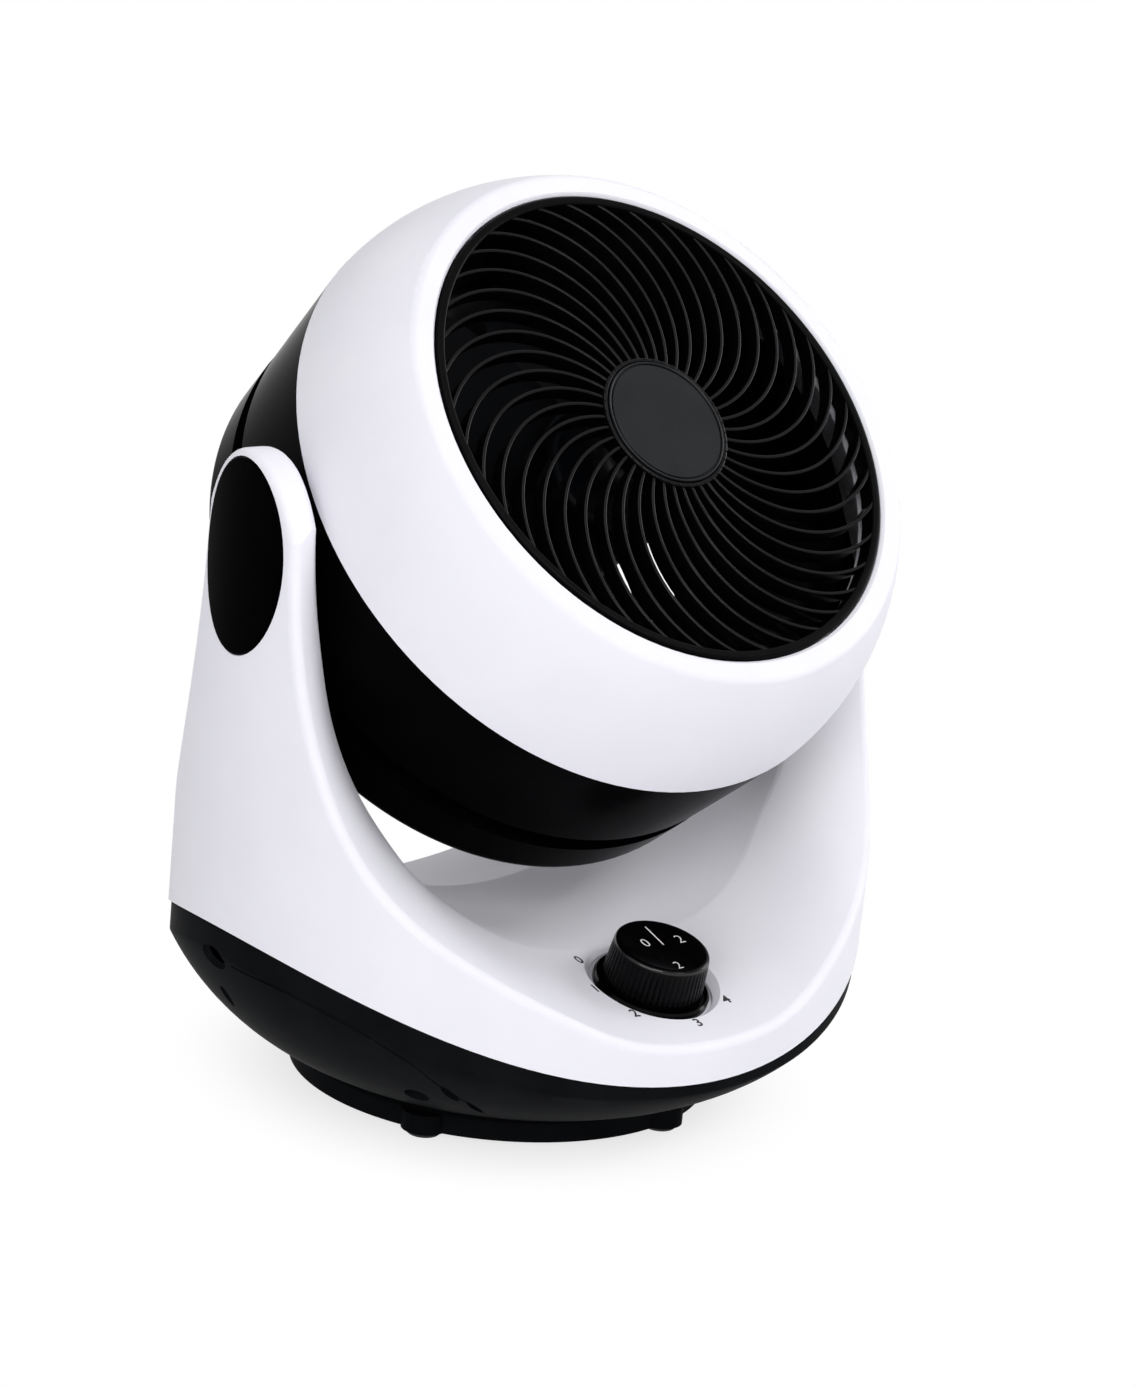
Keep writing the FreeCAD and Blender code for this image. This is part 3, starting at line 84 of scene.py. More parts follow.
def finishOf(name, tones, patch, rough, grit, depth, ior=1.5, metallic=0.0, lines=None):
    # two close tones in soft patches, a fine relief and a little spread in gloss; sizes in mm
    material = bpy.data.materials.new(name)
    material.use_nodes = True
    tree = material.node_tree
    tree.nodes.clear()
    place = addNode(tree, "ShaderNodeTexCoord").outputs["Object"]
    cloud = addNode(tree, "ShaderNodeTexNoise",
                    {"Scale": 1 / (patch * mm), "Detail": surface["toneDetail"]}, {"Vector": place})
    tint = addNode(tree, "ShaderNodeValToRGB", links={"Fac": cloud.outputs["Fac"]})
    for stop, tone, spot in zip(tint.color_ramp.elements, tones, surface["toneStops"]):
        stop.color = toLinear(tone)
        stop.position = spot
    if lines:
        pattern = addNode(tree, "ShaderNodeTexWave",
                          {"bands_direction": lines["along"], "Distortion": surface["waver"],
                           "Scale": wavePeriod / (lines["pitch"] * mm)}, {"Vector": place})
    else:
        pattern = addNode(tree, "ShaderNodeTexNoise",
                          {"Scale": 1 / (grit * mm), "Detail": surface["gritDetail"]}, {"Vector": place})
    relief = addNode(tree, "ShaderNodeBump", {"Strength": surface["relief"], "Distance": depth * mm},
                     {"Height": pattern.outputs["Fac"]})
    gloss = addNode(tree, "ShaderNodeMapRange", {"To Min": rough[0], "To Max": rough[1]},
                    {"Value": cloud.outputs["Fac"]})
    shader = addNode(tree, "ShaderNodeBsdfPrincipled", {"IOR": ior, "Metallic": metallic},
                     {"Base Color": tint.outputs["Color"], "Roughness": gloss.outputs["Result"],
                      "Normal": relief.outputs["Normal"]})
    addNode(tree, "ShaderNodeOutputMaterial", links={"Surface": shader.outputs["BSDF"]})
    return material


# white ABS from a polished tool: cool white, soft broad sheen, the faintest orange peel
whiteAbs = finishOf("ABS_white_moulded", ("#EEEDF4", "#EBEAF2"), 45, (0.46, 0.54), 1.6, 0.006,
                    ior=1.25)
# black ABS from a mirror-polished tool: deep black face-on, brightening only where it turns away
blackAbs = finishOf("ABS_black_gloss_moulded", ("#030304", "#060607"), 40, (0.16, 0.24), 1.8, 0.004,
                    ior=1.035)
# black polypropylene from a spark-eroded tool: dull, finely grained
grainedPp = finishOf("PP_black_grained", ("#0F1012", "#141517"), 25, (0.42, 0.52), 0.7, 0.03,
                     ior=1.04)
# black ABS of the ribs: satin, so that each rib's rounded edge draws a thin grey line
satinAbs = finishOf("ABS_black_satin_moulded", ("#040405", "#070709"), 20, (0.12, 0.18), 1.2, 0.003,
                    ior=1.2)
# black ABS of the grille's rim: duller and darker than the ribs, so that it reads as a black line
rimAbs = finishOf("ABS_black_matt_rim", ("#040405", "#060607"), 20, (0.25, 0.32), 1.2, 0.004,
                  ior=1.1)
# black ABS of the knob: polished, black on top with bright flute edges
knobAbs = finishOf("ABS_black_polished_knob", ("#030304", "#060607"), 12, (0.10, 0.16), 1.0, 0.002,
                   ior=1.16)
# the knob's top edge: a lighter, glossier copy of the knob plastic on one band, a painted highlight that
# draws one bright line
highlightBandAbs = finishOf("ABS_black_painted_highlight_band", ("#060607", "#0A0A0B"), 12, (0.08, 0.12), 1.0, 0.001,
                   ior=1.45)
# pivot caps: polished black, its tone darker than the other black ABS as painted shade, so that it stays
# black under the lamp beside it
shadedCapAbs = finishOf("ABS_black_cap_painted_shade", ("#010102", "#020203"), 40, (0.14, 0.2), 1.8, 0.003,
                  ior=1.04)
# hub plate: dark satin with a slight blue cast and a bright edge
hubAbs = finishOf("ABS_graphite_satin", ("#0C0E11", "#101216"), 18, (0.24, 0.32), 1.0, 0.004,
                  ior=1.24)
# smoked blade plastic: dark blue-grey, dull
bladeAs = finishOf("AS_smoked_blade", ("#06070A", "#0A0C10"), 25, (0.35, 0.45), 1.4, 0.006, ior=1.15)
# nitrile rubber: dead black, rough
rubber = finishOf("Nitrile_rubber_moulded", ("#0A0A0A", "#0E0E0E"), 8, (0.72, 0.85), 0.5, 0.03)
# zinc-plated steel: pale grey metal, slightly blotched
zinc = finishOf("Steel_zinc_plated", ("#B4B6BA", "#A4A7AC"), 4, (0.28, 0.4), 0.4, 0.01, metallic=1.0)
# ground steel: bright metal with a faint cloud
groundSteel = finishOf("Steel_ground", ("#C2C4C8", "#B6B8BC"), 6, (0.18, 0.28), 0.3, 0.006,
                       metallic=1.0)
# stacked electrical sheet: dark steel with fine lines between the sheets
sheetStack = finishOf("Steel_laminated_stack", ("#6A6C70", "#5C5E62"), 8, (0.4, 0.5), 0.5, 0.05,
                      metallic=1.0, lines={"along": "Z", "pitch": 1.0})
# enamelled copper wire: red-brown metal in close turns
copperWire = finishOf("Copper_enamelled_wire", ("#9A5A2E", "#7E4522"), 5, (0.3, 0.4), 0.5, 0.12,
                      metallic=1.0, lines={"along": "Z", "pitch": 0.9})
# sintered bronze: dull gold-brown, porous
bronze = finishOf("Bronze_sintered", ("#8E6F3E", "#7C6034"), 3, (0.45, 0.6), 0.4, 0.03, metallic=1.0)
# natural nylon: warm off-white, waxy
nylon = finishOf("Nylon_natural_moulded", ("#E2DECF", "#D8D3C2"), 10, (0.38, 0.48), 0.8, 0.01,
                 ior=1.53)
# pressed and painted steel can: mid grey, smooth
paintedCan = finishOf("Steel_pressed_painted", ("#6B6E72", "#626569"), 12, (0.35, 0.45), 0.9, 0.012)
# dark switch moulding: plain charcoal
charcoalPbt = finishOf("PBT_charcoal_moulded", ("#1A1B1E", "#222327"), 10, (0.4, 0.5), 0.7, 0.012)
# pad-printed inks: flat white on the knob, near black on the deck
whiteInk = finishOf("Ink_white_pad_printed", ("#F2F2F2", "#E6E6E6"), 1.5, (0.5, 0.6), 0.4, 0.004)
blackInk = finishOf("Ink_black_pad_printed", ("#101113", "#18191C"), 1.5, (0.5, 0.6), 0.4, 0.004)

nodeFinishes = {
    "front_ring": whiteAbs, "front_grille": satinAbs, "grille_hub_cap": hubAbs,
    "fan_drum": blackAbs, "rear_cover": blackAbs, "cover_screws": zinc, "motor_screws": zinc,
    "motor_rear_bell": paintedCan, "motor_front_bell": paintedCan, "motor_bearings": bronze,
    "motor_stator": sheetStack, "stator_windings": copperWire, "trunnion_pins": groundSteel,
    "friction_washers": rubber, "rotor_core": sheetStack, "motor_shaft": groundSteel,
    "impeller": bladeAs, "spinner_nut": charcoalPbt, "yoke_shell": whiteAbs,
    # the pivot caps take the darker black, painted shade against the lamp beside them
    "left_pivot_cap": shadedCapAbs, "right_pivot_cap": shadedCapAbs, "trunnion_bushes": nylon,
    "base_tray": grainedPp, "tray_screws": zinc, "cord_inlet": rubber, "dial_collar": knobAbs,
    "rotary_switch": charcoalPbt, "speed_knob": blackAbs, "switch_spindle": groundSteel,
    "swing_motor": paintedCan, "swing_pinion": nylon, "pedestal_plate": grainedPp,
    "foot_pads": rubber, "centre_pad": rubber, "swivel_spine": charcoalPbt, "spine_screws": zinc,
    "thrust_washer": nylon, "retaining_clip": groundSteel, "sector_gear": nylon,
}
for name, node in nodes.items():
    node.data.materials.clear()
    node.data.materials.append(nodeFinishes[name])
print("materials on", len(nodeFinishes), "pieces")

# Mesh helpers, all in millimetres before they are placed
weldGap = 0.0005


def smoothBut(mesh, sharp):
    # smooth shading, apart from edges that turn by more than the sharp angle
    mesh.polygons.foreach_set("use_smooth", [True] * len(mesh.polygons))
    mesh.set_sharp_from_angle(angle=math.radians(sharp))


def meshOf(name, build, place, sharp=35):
    bmesh.ops.remove_doubles(build, verts=build.verts, dist=weldGap)
    bmesh.ops.recalc_face_normals(build, faces=build.faces)
    mesh = bpy.data.meshes.new(name)
    build.to_mesh(mesh)
    build.free()
    mesh.transform(place @ Matrix.Scale(mm, 4))
    smoothBut(mesh, sharp)
    return mesh


def addPiece(name, mesh, finish, body, slot, *stoodFor):
    piece = bpy.data.objects.new(name, mesh)
    bpy.context.scene.collection.objects.link(piece)
    mesh.materials.append(finish)
    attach(piece, body)
    if stoodFor:
        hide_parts(*stoodFor)
    return piece


def skinRings(build, rings, closeLoop=False, capEnds=False):
    # quads between neighbouring closed rings of equal count
    rows = [[build.verts.new(point) for point in ring] for ring in rings]
    count = len(rows[0])
    pairs = list(zip(rows, rows[1:])) + ([(rows[-1], rows[0])] if closeLoop else [])
    for near, far in pairs:
        for index in range(count):
            after = (index + 1) % count
            build.faces.new((near[index], near[after], far[after], far[index]))
    if capEnds:
        build.faces.new(rows[0])
        build.faces.new(rows[-1])


def swung(profile, angle):
    # outline of (radius, height) stood up at one angle round the Z axis
    return [(radius * math.cos(angle), radius * math.sin(angle), height) for radius, height in profile]


def turned(build, profile, segments):
    rings = [swung(profile, 2 * math.pi * step / segments) for step in range(segments)]
    skinRings(build, rings, closeLoop=True)


def arc(x, z, radius, first, sweep, steps):
    # points round a centre, from the first angle on; angles in degrees
    angles = [math.radians(first + sweep * step / steps) for step in range(steps + 1)]
    return [(x + radius * math.cos(angle), z + radius * math.sin(angle)) for angle in angles]


def roundedBox(inner, outer, low, high, radius, steps=4):
    # outline of a ring's section with rounded corners
    corners = ((outer - radius, low + radius, -90), (outer - radius, high - radius, 0),
               (inner + radius, high - radius, 90), (inner + radius, low + radius, 180))
    return [point for x, z, first in corners for point in arc(x, z, radius, first, 90, steps)]


# Grille: forty ribs that leave the hub straight out and bend round to the rim
grille = dict(rimOuter=95.0, rimWidth=3.4, rimBack=67.0, rimRound=0.9, rimSegments=180, front=75.0,
              hubOuter=26.5, hubInner=24.9, hubBack=67.7, hubFloor=71.6, hubRound=0.5,
              hubSegments=96, plateLap=0.3, plateLift=1.0, plateRound=0.4,
              ribs=40, ribHalf=0.64, ribEdge=0.36, ribEdgeSteps=4, ribBack=67.7, ribFront=74.3,
              ribBend=48.0, ribStart=25.4, ribReach=93.2, stations=22, studRadius=26.0, studSize=0.42)


def ribPath(size):
    # points along a rib's arc, each with the direction across the rib
    start, bend, reach = size["ribStart"], size["ribBend"], size["ribReach"]
    centre = math.hypot(start, bend)
    apart = (bend ** 2 + centre ** 2 - reach ** 2) / (2 * bend * centre)
    turn = math.acos(apart) - math.atan2(start, bend)
    for step in range(size["stations"] + 1):
        angle = turn * step / size["stations"]
        spot = Vector((start + bend * math.sin(angle), bend * (1 - math.cos(angle)), 0))
        yield spot, Vector((-math.sin(angle), math.cos(angle), 0))


def makeGrille(size):
    build = bmesh.new()
    half, edge = size["ribHalf"], size["ribEdge"]
    outline = [(-half, size["ribBack"]), (half, size["ribBack"])]
    for middle, first in ((half - edge, 0), (edge - half, 90)):
        outline += arc(middle, size["ribFront"] - edge, edge, first, 90, size["ribEdgeSteps"])
    for number in range(size["ribs"]):
        turn = Matrix.Rotation(2 * math.pi * number / size["ribs"], 3, "Z")
        rings = [[turn @ (spot + across * shift + Vector((0, 0, height))) for shift, height in outline]
                 for spot, across in ribPath(size)]
        skinRings(build, rings, capEnds=True)
    hub = roundedBox(size["hubInner"], size["hubOuter"], size["hubBack"], size["front"], size["hubRound"])
    turned(build, hub, size["hubSegments"])
    plate = roundedBox(0.0, size["hubInner"] + size["plateLap"], size["hubBack"] + size["plateLift"],
                       size["hubFloor"], size["plateRound"])
    turned(build, [(max(radius, 0.0), height) for radius, height in plate], size["hubSegments"])
    for number in range(size["ribs"]):
        angle = 2 * math.pi * (number + 0.5) / size["ribs"]
        spot = swung([(size["studRadius"], size["front"])], angle)[0]
        bmesh.ops.create_icosphere(build, subdivisions=2, radius=size["studSize"],
                                   matrix=Matrix.Translation(spot))
    return meshOf("frontGrille", build, onHead)


def makeRim(size):
    build = bmesh.new()
    inner = size["rimOuter"] - size["rimWidth"]
    rim = roundedBox(inner, size["rimOuter"], size["rimBack"], size["front"], size["rimRound"])
    turned(build, rim, size["rimSegments"])
    return meshOf("grilleRim", build, onHead)


addPiece("frontGrille", makeGrille(grille), satinAbs, "head", "black_shell", "front_grille")
addPiece("grilleRim", makeRim(grille), rimAbs, "head", "black_shell")
print("grille built:", grille["ribs"], "ribs")

# Hub plate: flat disc, a fine groove inside its edge and a rounded bead round it
hubPlate = dict(radius=24.6, low=73.5, top=75.3, segments=128, beadRadius=24.15, bead=0.42,
                beadRise=0.2, beadSteps=8, groove=23.3, grooveDepth=0.5, grooveSides=(0.25, -0.05, -0.35))


def makeHubPlate(size):
    build = bmesh.new()
    crown = size["top"] + size["beadRise"] - size["bead"]
    floor = size["top"] - size["grooveDepth"]
    outer, inner, brink = (size["groove"] + side for side in size["grooveSides"])
    outline = [(0.0, size["low"]), (size["radius"], size["low"]), (size["radius"], crown)]
    outline += arc(size["beadRadius"], crown, size["bead"], 0, 180, size["beadSteps"])
    outline += [(outer, floor), (inner, floor), (brink, size["top"]), (0.0, size["top"])]
    turned(build, outline, size["segments"])
    return meshOf("hubPlate", build, onHead)


addPiece("hubPlate", makeHubPlate(hubPlate), hubAbs, "head", "black_shell", "grille_hub_cap")
print("hub plate built")

# Tray: a recess, a hole, two slots and a fine groove, placed on the left half and mirrored
trayCuts = dict(
    recess=dict(spot=(-139.0, -0.9, 66.3), out=(-0.93, 0.03, -0.37), along=(0, 1, 0),
                half=(7.2, 4.6, 4.2)),
    hole=dict(spot=(-129.0, 2.6, 48.7), out=(-0.82, 0.06, -0.57), along=(0, 1, 0),
              half=(2.8, 5.2, 3.6)),
    slotLong=dict(spot=(-88.7, -79.7, 33.4), out=(-0.53, -0.44, -0.73), along=(0.76, 0.14, -0.63),
                  half=(6.4, 1.9, 3.4)),
    slotShort=dict(spot=(-76.5, -79.6, 26.1), out=(-0.42, -0.42, -0.80), along=(0.79, 0.28, -0.55),
                   half=(6.8, 1.5, 3.4)))
trayGroove = dict(radius=0.55, stations=10, sides=8, path=(
    (-138.9, -12.1, 66.8), (-134.1, -38.8, 65.3), (-121.6, -63.1, 58.2), (-107.8, -76.5, 48.6),
    (-97.8, -79.6, 40.4), (-80.6, -81.0, 28.6), (-60.3, -73.3, 16.6)))
trayMesh = dict(around=40, down=20, weld=1e-6, sharp=12)


def cutCarrier(name, build):
    # an object in metres that only serves the cut and is removed after it
    mesh = bpy.data.meshes.new(name)
    bmesh.ops.recalc_face_normals(build, faces=build.faces)
    build.to_mesh(mesh)
    build.free()
    carrier = bpy.data.objects.new(name, mesh)
    bpy.context.scene.collection.objects.link(carrier)
    return carrier


def softPath(points, stations):
    # smooth curve through the points, by cubic pieces
    points = [Vector(point) for point in points]
    ends = [2 * points[0] - points[1]] + points + [2 * points[-1] - points[-2]]
    for index in range(1, len(ends) - 2):
        before, start, end, after = ends[index - 1:index + 3]
        for step in range(stations):
            t = step / stations
            yield 0.5 * (2 * start + (end - before) * t
                         + (2 * before - 5 * start + 4 * end - after) * t ** 2
                         + (3 * start - before - 3 * end + after) * t ** 3)
    yield points[-1]


def addHollow(build, cut, flip):
    # an egg-shaped body, turned so that its short axis points out of the bowl
    out = Vector(cut["out"]).normalized()
    along = (Vector(cut["along"]) - out * out.dot(Vector(cut["along"]))).normalized()
    turn = Matrix((along, out.cross(along), out)).transposed().to_4x4()
    shape = flip @ Matrix.Translation(cut["spot"]) @ turn @ Matrix.Diagonal((*cut["half"], 1))
    bmesh.ops.create_uvsphere(build, u_segments=trayMesh["around"], v_segments=trayMesh["down"],
                              radius=1.0, matrix=Matrix.Scale(mm, 4) @ shape)


def addGroove(build, size, flip):
    spots = list(softPath(size["path"], size["stations"]))
    last = len(spots) - 1
    rings = []
    for index, spot in enumerate(spots):
        ahead = (spots[min(index + 1, last)] - spots[max(index - 1, 0)]).normalized()
        first = ahead.orthogonal().normalized()
        turns = [Matrix.Rotation(math.radians(360 / size["sides"] * step), 3, ahead)
                 for step in range(size["sides"])]
        rings.append([(flip @ (spot + turn @ first * size["radius"])) * mm for turn in turns])
    skinRings(build, rings, capEnds=True)


def steadyMesh(name, loose):
    # the same faces in a fixed order, because a cut hands them over in any order
    order = sorted(range(len(loose.vertices)), key=lambda index: tuple(loose.vertices[index].co))
    rank = {old: new for new, old in enumerate(order)}
    faces = []
    for face in loose.polygons:
        ring = [rank[index] for index in face.vertices]
        first = ring.index(min(ring))
        faces.append(ring[first:] + ring[:first])
    mesh = bpy.data.meshes.new(name)
    mesh.from_pydata([tuple(loose.vertices[index].co) for index in order], [], sorted(faces))
    bpy.data.meshes.remove(loose)
    return mesh


def makeTray():
    hollows, groove = bmesh.new(), bmesh.new()
    for side in (1, -1):
        flip = Matrix.Diagonal((side, 1, 1, 1))
        for cut in trayCuts.values():
            addHollow(hollows, cut, flip)
        addGroove(groove, trayGroove, flip)
    cutters = [cutCarrier("trayHollows", hollows), cutCarrier("trayGroove", groove)]
    build = bmesh.new()
    build.from_mesh(nodes["base_tray"].data)
    bmesh.ops.remove_doubles(build, verts=build.verts, dist=trayMesh["weld"])
    blank = cutCarrier("trayBlank", build)
    for cutter in cutters:
        knife = blank.modifiers.new(cutter.name, "BOOLEAN")
        knife.operation = "DIFFERENCE"
        knife.solver = "EXACT"
        knife.object = cutter
    bpy.context.view_layer.update()
    shape = blank.evaluated_get(bpy.context.evaluated_depsgraph_get())
    mesh = steadyMesh("baseTray", bpy.data.meshes.new_from_object(shape))
    for carrier in cutters + [blank]:
        bpy.data.objects.remove(carrier)
    smoothBut(mesh, trayMesh["sharp"])
    return mesh


addPiece("baseTray", makeTray(), grainedPp, "base", "black_tray", "base_tray")
print("tray cut")

# Knob: fine rounded flutes below a smooth top edge, which carries a band of painted highlight
knob = dict(footRadius=19.2, topRadius=18.0, foot=-1.2, footEdge=0.3, top=15.6, edge=1.3, edgeSteps=6,
            flutes=56, fluteDepth=0.5, fluteTop=13.2, fluteEnd=0.5, flutePower=3, flutePoints=8,
            sideShares=(0.2, 0.4, 0.6, 0.8, 1.0), pocketRadius=15.2, pocketTop=8.0, hubRadius=5.5,
            boreRadius=3.05, boreTop=9.1, dish=0.15, dishOuter=2.2, dishInner=2.6, dishLip=0.02,
            shineMiddle=0.62, shineHalf=0.36)


def sideRadius(size, height):
    share = (height - size["foot"]) / (size["top"] - size["foot"])
    return size["footRadius"] + share * (size["topRadius"] - size["footRadius"])


def knobInside(size):
    bore, hub, pocket, foot = size["boreRadius"], size["hubRadius"], size["pocketRadius"], size["foot"]
    return [(0.0, size["boreTop"]), (bore, size["boreTop"]), (bore, foot), (hub, foot),
            (hub, size["pocketTop"]), (pocket, size["pocketTop"]), (pocket, foot)]


def knobOutside(size):
    edge, top, topRadius = size["edge"], size["top"], size["topRadius"]
    low = size["foot"] + size["footEdge"]
    outline = [(size["footRadius"] - size["footEdge"], size["foot"]), (size["footRadius"], low)]
    heights = [low + share * (size["fluteTop"] - size["foot"] - size["footEdge"])
               for share in size["sideShares"]] + [size["fluteTop"] + size["fluteEnd"]]
    outline += [(sideRadius(size, height), height) for height in heights]
    outline += arc(topRadius - edge, top - edge, edge, 0, 90, size["edgeSteps"])
    return outline + [(topRadius - size["dishOuter"], top - size["dishLip"]),
                      (topRadius - size["dishInner"], top - size["dish"]), (0.0, top - size["dish"])]


def fluted(size, profile, angle):
    # draws the side in where a flute runs, and leaves the top edge smooth
    wave = (0.5 - 0.5 * math.cos(size["flutes"] * angle)) ** size["flutePower"]
    side = size["topRadius"] - size["fluteEnd"]
    return [(radius - size["fluteDepth"] * wave, height)
            if height <= size["fluteTop"] and radius > side else (radius, height)
            for radius, height in profile]


def makeKnob(size):
    build = bmesh.new()
    segments = size["flutes"] * size["flutePoints"]
    rings = []
    for step in range(segments):
        angle = 2 * math.pi * step / segments
        rings.append(swung(knobInside(size) + fluted(size, knobOutside(size), angle), angle))
    skinRings(build, rings, closeLoop=True)
    # faces in a band round the top edge take the second material, the painted highlight
    shine = size["top"] - size["edge"] * size["shineMiddle"]
    for face in build.faces:
        middle = face.calc_center_median()
        outside = math.hypot(*middle.xy) > size["topRadius"] - size["edge"]
        if outside and abs(middle.z - shine) < size["edge"] * size["shineHalf"]:
            face.material_index = 1
    return meshOf("speedKnob", build, onDial, sharp=50)


dial = addPiece("speedKnob", makeKnob(knob), knobAbs, "knob", "black_shell", "speed_knob")
# the second material: the edge band's painted highlight
dial.data.materials.append(highlightBandAbs)
print("knob built:", knob["flutes"], "flutes")

# Printed marks: numerals and a pointer on the knob, numerals round the deck; angles in degrees
marks = dict(knobText=(("0", -5.4, 3.6, 6.8), ("2", 10.0, 2.0, 7.0), ("2", -2.6, -12.4, 6.2)),
             knobBold=-0.08, pointer=((1.0, 0.8), (1.9, 12.9)), pointerHalf=0.28,
             deckText="01234", deckAngles=(138, 180, 217, 269, 316), deckRadius=28.0, deckSize=6.4,
             deckBold=0.11, ink=0.06, dropFrom=30.0)


def glyph(build, body, size, bold, x, y, height):
    curve = bpy.data.curves.new("glyph", "FONT")
    curve.body = body
    curve.size = size
    curve.align_x = "CENTER"
    curve.align_y = "CENTER"
    curve.extrude = marks["ink"] / 2
    curve.offset = bold
    holder = bpy.data.objects.new("glyph", curve)
    bpy.context.scene.collection.objects.link(holder)
    bpy.context.view_layer.update()
    shape = holder.evaluated_get(bpy.context.evaluated_depsgraph_get())
    mesh = bpy.data.meshes.new_from_object(shape)
    mesh.transform(Matrix.Translation((x, y, height)))
    build.from_mesh(mesh)
    bpy.data.objects.remove(holder)
    bpy.data.curves.remove(curve)
    bpy.data.meshes.remove(mesh)


def bar(build, start, end, half, height):
    start, end = Vector(start), Vector(end)
    along = (end - start).normalized()
    across = Vector((-along.y, along.x)) * half
    corners = [start + across, start - across, end - across, end + across]
    rings = [[(corner.x, corner.y, height + lift) for corner in corners]
             for lift in (-marks["ink"] / 2, marks["ink"] / 2)]
    skinRings(build, rings, capEnds=True)


def layOn(build, node, place):
    # lowers each point along the dial's axis until the mark lies on the node's surface
    target = nodes[node].data
    toWorld = place @ Matrix.Scale(mm, 4)
    tree = BVHTree.FromPolygons([vert.co for vert in target.vertices],
                                [tuple(face.vertices) for face in target.polygons])
    down = -(place.to_3x3() @ Vector((0, 0, 1)))
    for vert in build.verts:
        start = toWorld @ Vector((vert.co.x, vert.co.y, marks["dropFrom"]))
        hit = tree.ray_cast(start, down)[0]
        if hit:
            vert.co.z += (toWorld.inverted() @ hit).z


def makeMarks(size):
    lift = size["ink"] / 2
    top = knob["top"] - knob["dish"] + lift
    build = bmesh.new()
    for body, x, y, tall in size["knobText"]:
        glyph(build, body, tall, size["knobBold"], x, y, top)
    bar(build, *size["pointer"], size["pointerHalf"], top)
    addPiece("knobMarks", meshOf("knobMarks", build, onDial), whiteInk, "knob", "black_shell")
    build = bmesh.new()
    for body, degrees in zip(size["deckText"], size["deckAngles"]):
        x, y, height = swung([(size["deckRadius"], lift)], math.radians(degrees))[0]
        glyph(build, body, size["deckSize"], size["deckBold"], x, y, height)
    layOn(build, "yoke_shell", onDial)
    addPiece("deckMarks", meshOf("deckMarks", build, onDial), blackInk, "base", "white_shell")


makeMarks(marks)
print("marks printed")

# Camera at the photograph's angle; angles in degrees, lengths in mm, clip in metres
cameraView = dict(azimuth=-41.17, elevation=15.28, roll=5.57, side=-27.49, rise=-144.46, away=1397.8,
                  lens=93.5, clip=20)


def placeCamera(view):
    turn, lift, roll = (math.radians(view[key]) for key in ("azimuth", "elevation", "roll"))
    back = Vector((math.sin(turn) * math.cos(lift), -math.cos(turn) * math.cos(lift), math.sin(lift)))
    level = Vector((math.cos(turn), math.sin(turn), 0))
    upright = back.cross(level)
    right = math.cos(roll) * level + math.sin(roll) * upright
    up = math.cos(roll) * upright - math.sin(roll) * level
    data = bpy.data.cameras.new("photoCamera")
    data.lens = view["lens"]
    data.clip_end = view["clip"]
    camera = bpy.data.objects.new("photoCamera", data)
    spot = (back * view["away"] - right * view["side"] - up * view["rise"]) * mm
    camera.matrix_world = Matrix.Translation(spot) @ Matrix((right, up, back)).transposed().to_4x4()
    bpy.context.scene.collection.objects.link(camera)
    bpy.context.scene.camera = camera


placeCamera(cameraView)
print("camera placed")

# Studio: white sweep, soft sky, large soft boxes; in metres and watts
studio = dict(sky=0.24, aim=(0, 0, 0.18), floorTones=("#FAFAFC", "#F8F8FA"), floorSide=8.0,
              paper=0.28, paperReach=(0.066, 0.13))
lamps = {
    "keyBox": dict(spot=(-1.1, -1.7, 1.4), size=0.8, watts=11.5),
    "topBox": dict(spot=(0.1, -0.7, 2.2), size=1.0, watts=10.2),
    "frontBox": dict(spot=(0.8, -1.5, 1.8), size=0.5, watts=13.6),
    "leftBox": dict(spot=(-1.8, -0.9, 0.7), size=1.2, watts=11.8),
    "rightBox": dict(spot=(2.2, -0.3, 1.0), size=1.0, watts=15),
    "rearBox": dict(spot=(-0.4, 1.8, 1.5), size=1.4, watts=7.5),
}


def seenRays(tree):
    # one for rays from the camera, off gloss or through glass, which see plain white
    path = addNode(tree, "ShaderNodeLightPath").outputs
    seen = addNode(tree, "ShaderNodeMath", {"operation": "MAXIMUM"},
                   {0: path["Is Camera Ray"], 1: path["Is Glossy Ray"]})
    clear = addNode(tree, "ShaderNodeMath", {"operation": "MAXIMUM"},
                    {0: seen.outputs[0], 1: path["Is Transmission Ray"]})
    return clear.outputs[0]


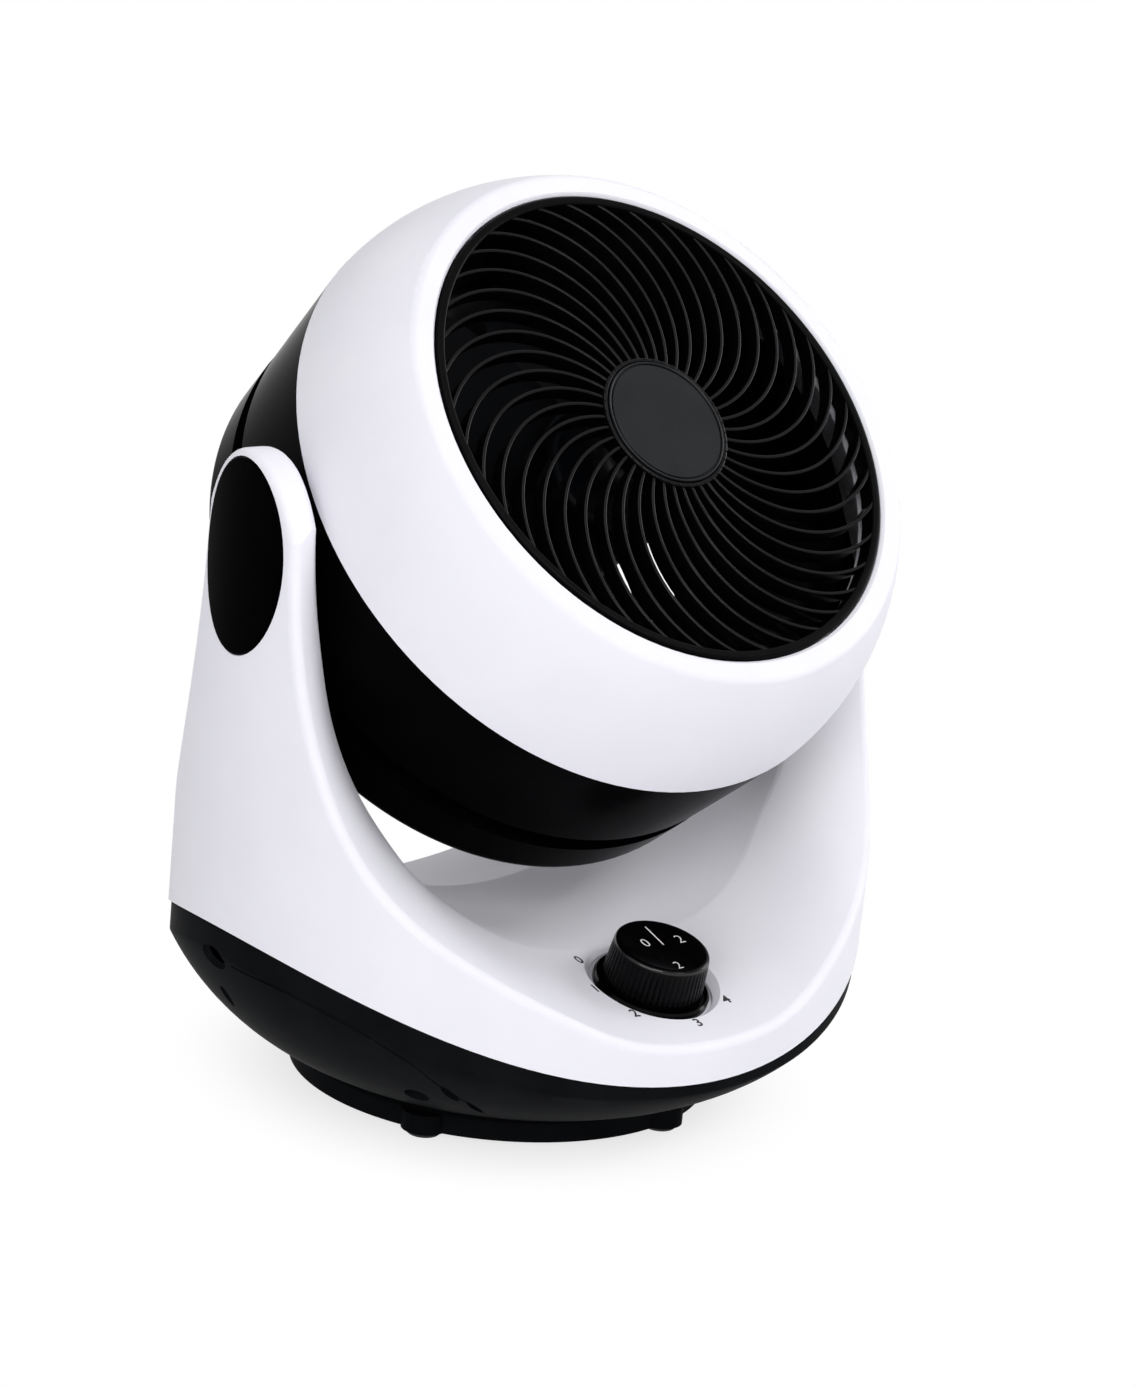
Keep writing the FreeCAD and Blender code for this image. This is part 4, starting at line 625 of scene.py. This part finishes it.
def lightStudio():
    world = bpy.data.worlds.new("studioSky")
    bpy.context.scene.world = world
    world.use_nodes = True
    tree = world.node_tree
    tree.nodes.clear()
    strength = addNode(tree, "ShaderNodeMapRange", {"To Min": studio["sky"], "To Max": 1.0},
                       {"Value": seenRays(tree)})
    sky = addNode(tree, "ShaderNodeBackground", {"Color": (1, 1, 1, 1)},
                  {"Strength": strength.outputs["Result"]})
    addNode(tree, "ShaderNodeOutputWorld", links={"Surface": sky.outputs["Background"]})
    for name, lamp in lamps.items():
        data = bpy.data.lights.new(name, "AREA")
        data.size = lamp["size"]
        data.energy = lamp["watts"]
        box = bpy.data.objects.new(name, data)
        spot = Vector(lamp["spot"])
        aim = (Vector(studio["aim"]) - spot).to_track_quat("-Z", "Y").to_matrix().to_4x4()
        box.matrix_world = Matrix.Translation(spot) @ aim
        bpy.context.scene.collection.objects.link(box)


def sweepPaper():
    # paper that the lamps shade near the object and that is plain white further out
    material = finishOf("Paper_white_sweep", studio["floorTones"], 400, (0.85, 0.95), 2, 0.01, ior=1.05)
    tree = material.node_tree
    output = next(node for node in tree.nodes if node.type == "OUTPUT_MATERIAL")
    lit = output.inputs["Surface"].links[0].from_socket
    place = next(node for node in tree.nodes if node.type == "TEX_COORD").outputs["Object"]
    away = addNode(tree, "ShaderNodeVectorMath", {"operation": "LENGTH"}, {0: place})
    near, far = studio["paperReach"]
    share = addNode(tree, "ShaderNodeMapRange",
                    {"interpolation_type": "SMOOTHSTEP", "From Min": near, "From Max": far,
                     "To Min": 1 - studio["paper"], "To Max": 1.0}, {"Value": away.outputs["Value"]})
    seen = addNode(tree, "ShaderNodeMath", {"operation": "MULTIPLY"},
                   {0: share.outputs["Result"], 1: seenRays(tree)})
    white = addNode(tree, "ShaderNodeEmission", {"Color": (1, 1, 1, 1), "Strength": 1.0})
    mixed = addNode(tree, "ShaderNodeMixShader",
                    links={0: seen.outputs[0], 1: lit, 2: white.outputs["Emission"]})
    tree.links.new(mixed.outputs[0], output.inputs["Surface"])
    return material


def layFloor():
    side = studio["floorSide"]
    corners = [(-side, -side, 0), (side, -side, 0), (side, side, 0), (-side, side, 0)]
    mesh = bpy.data.meshes.new("studioFloor")
    mesh.from_pydata(corners, [], [(0, 1, 2, 3)])
    floor = bpy.data.objects.new("studioFloor", mesh)
    bpy.context.scene.collection.objects.link(floor)
    mesh.materials.append(sweepPaper())


lightStudio()
layFloor()
bpy.context.scene.view_settings.view_transform = "Standard"
print("studio lit")
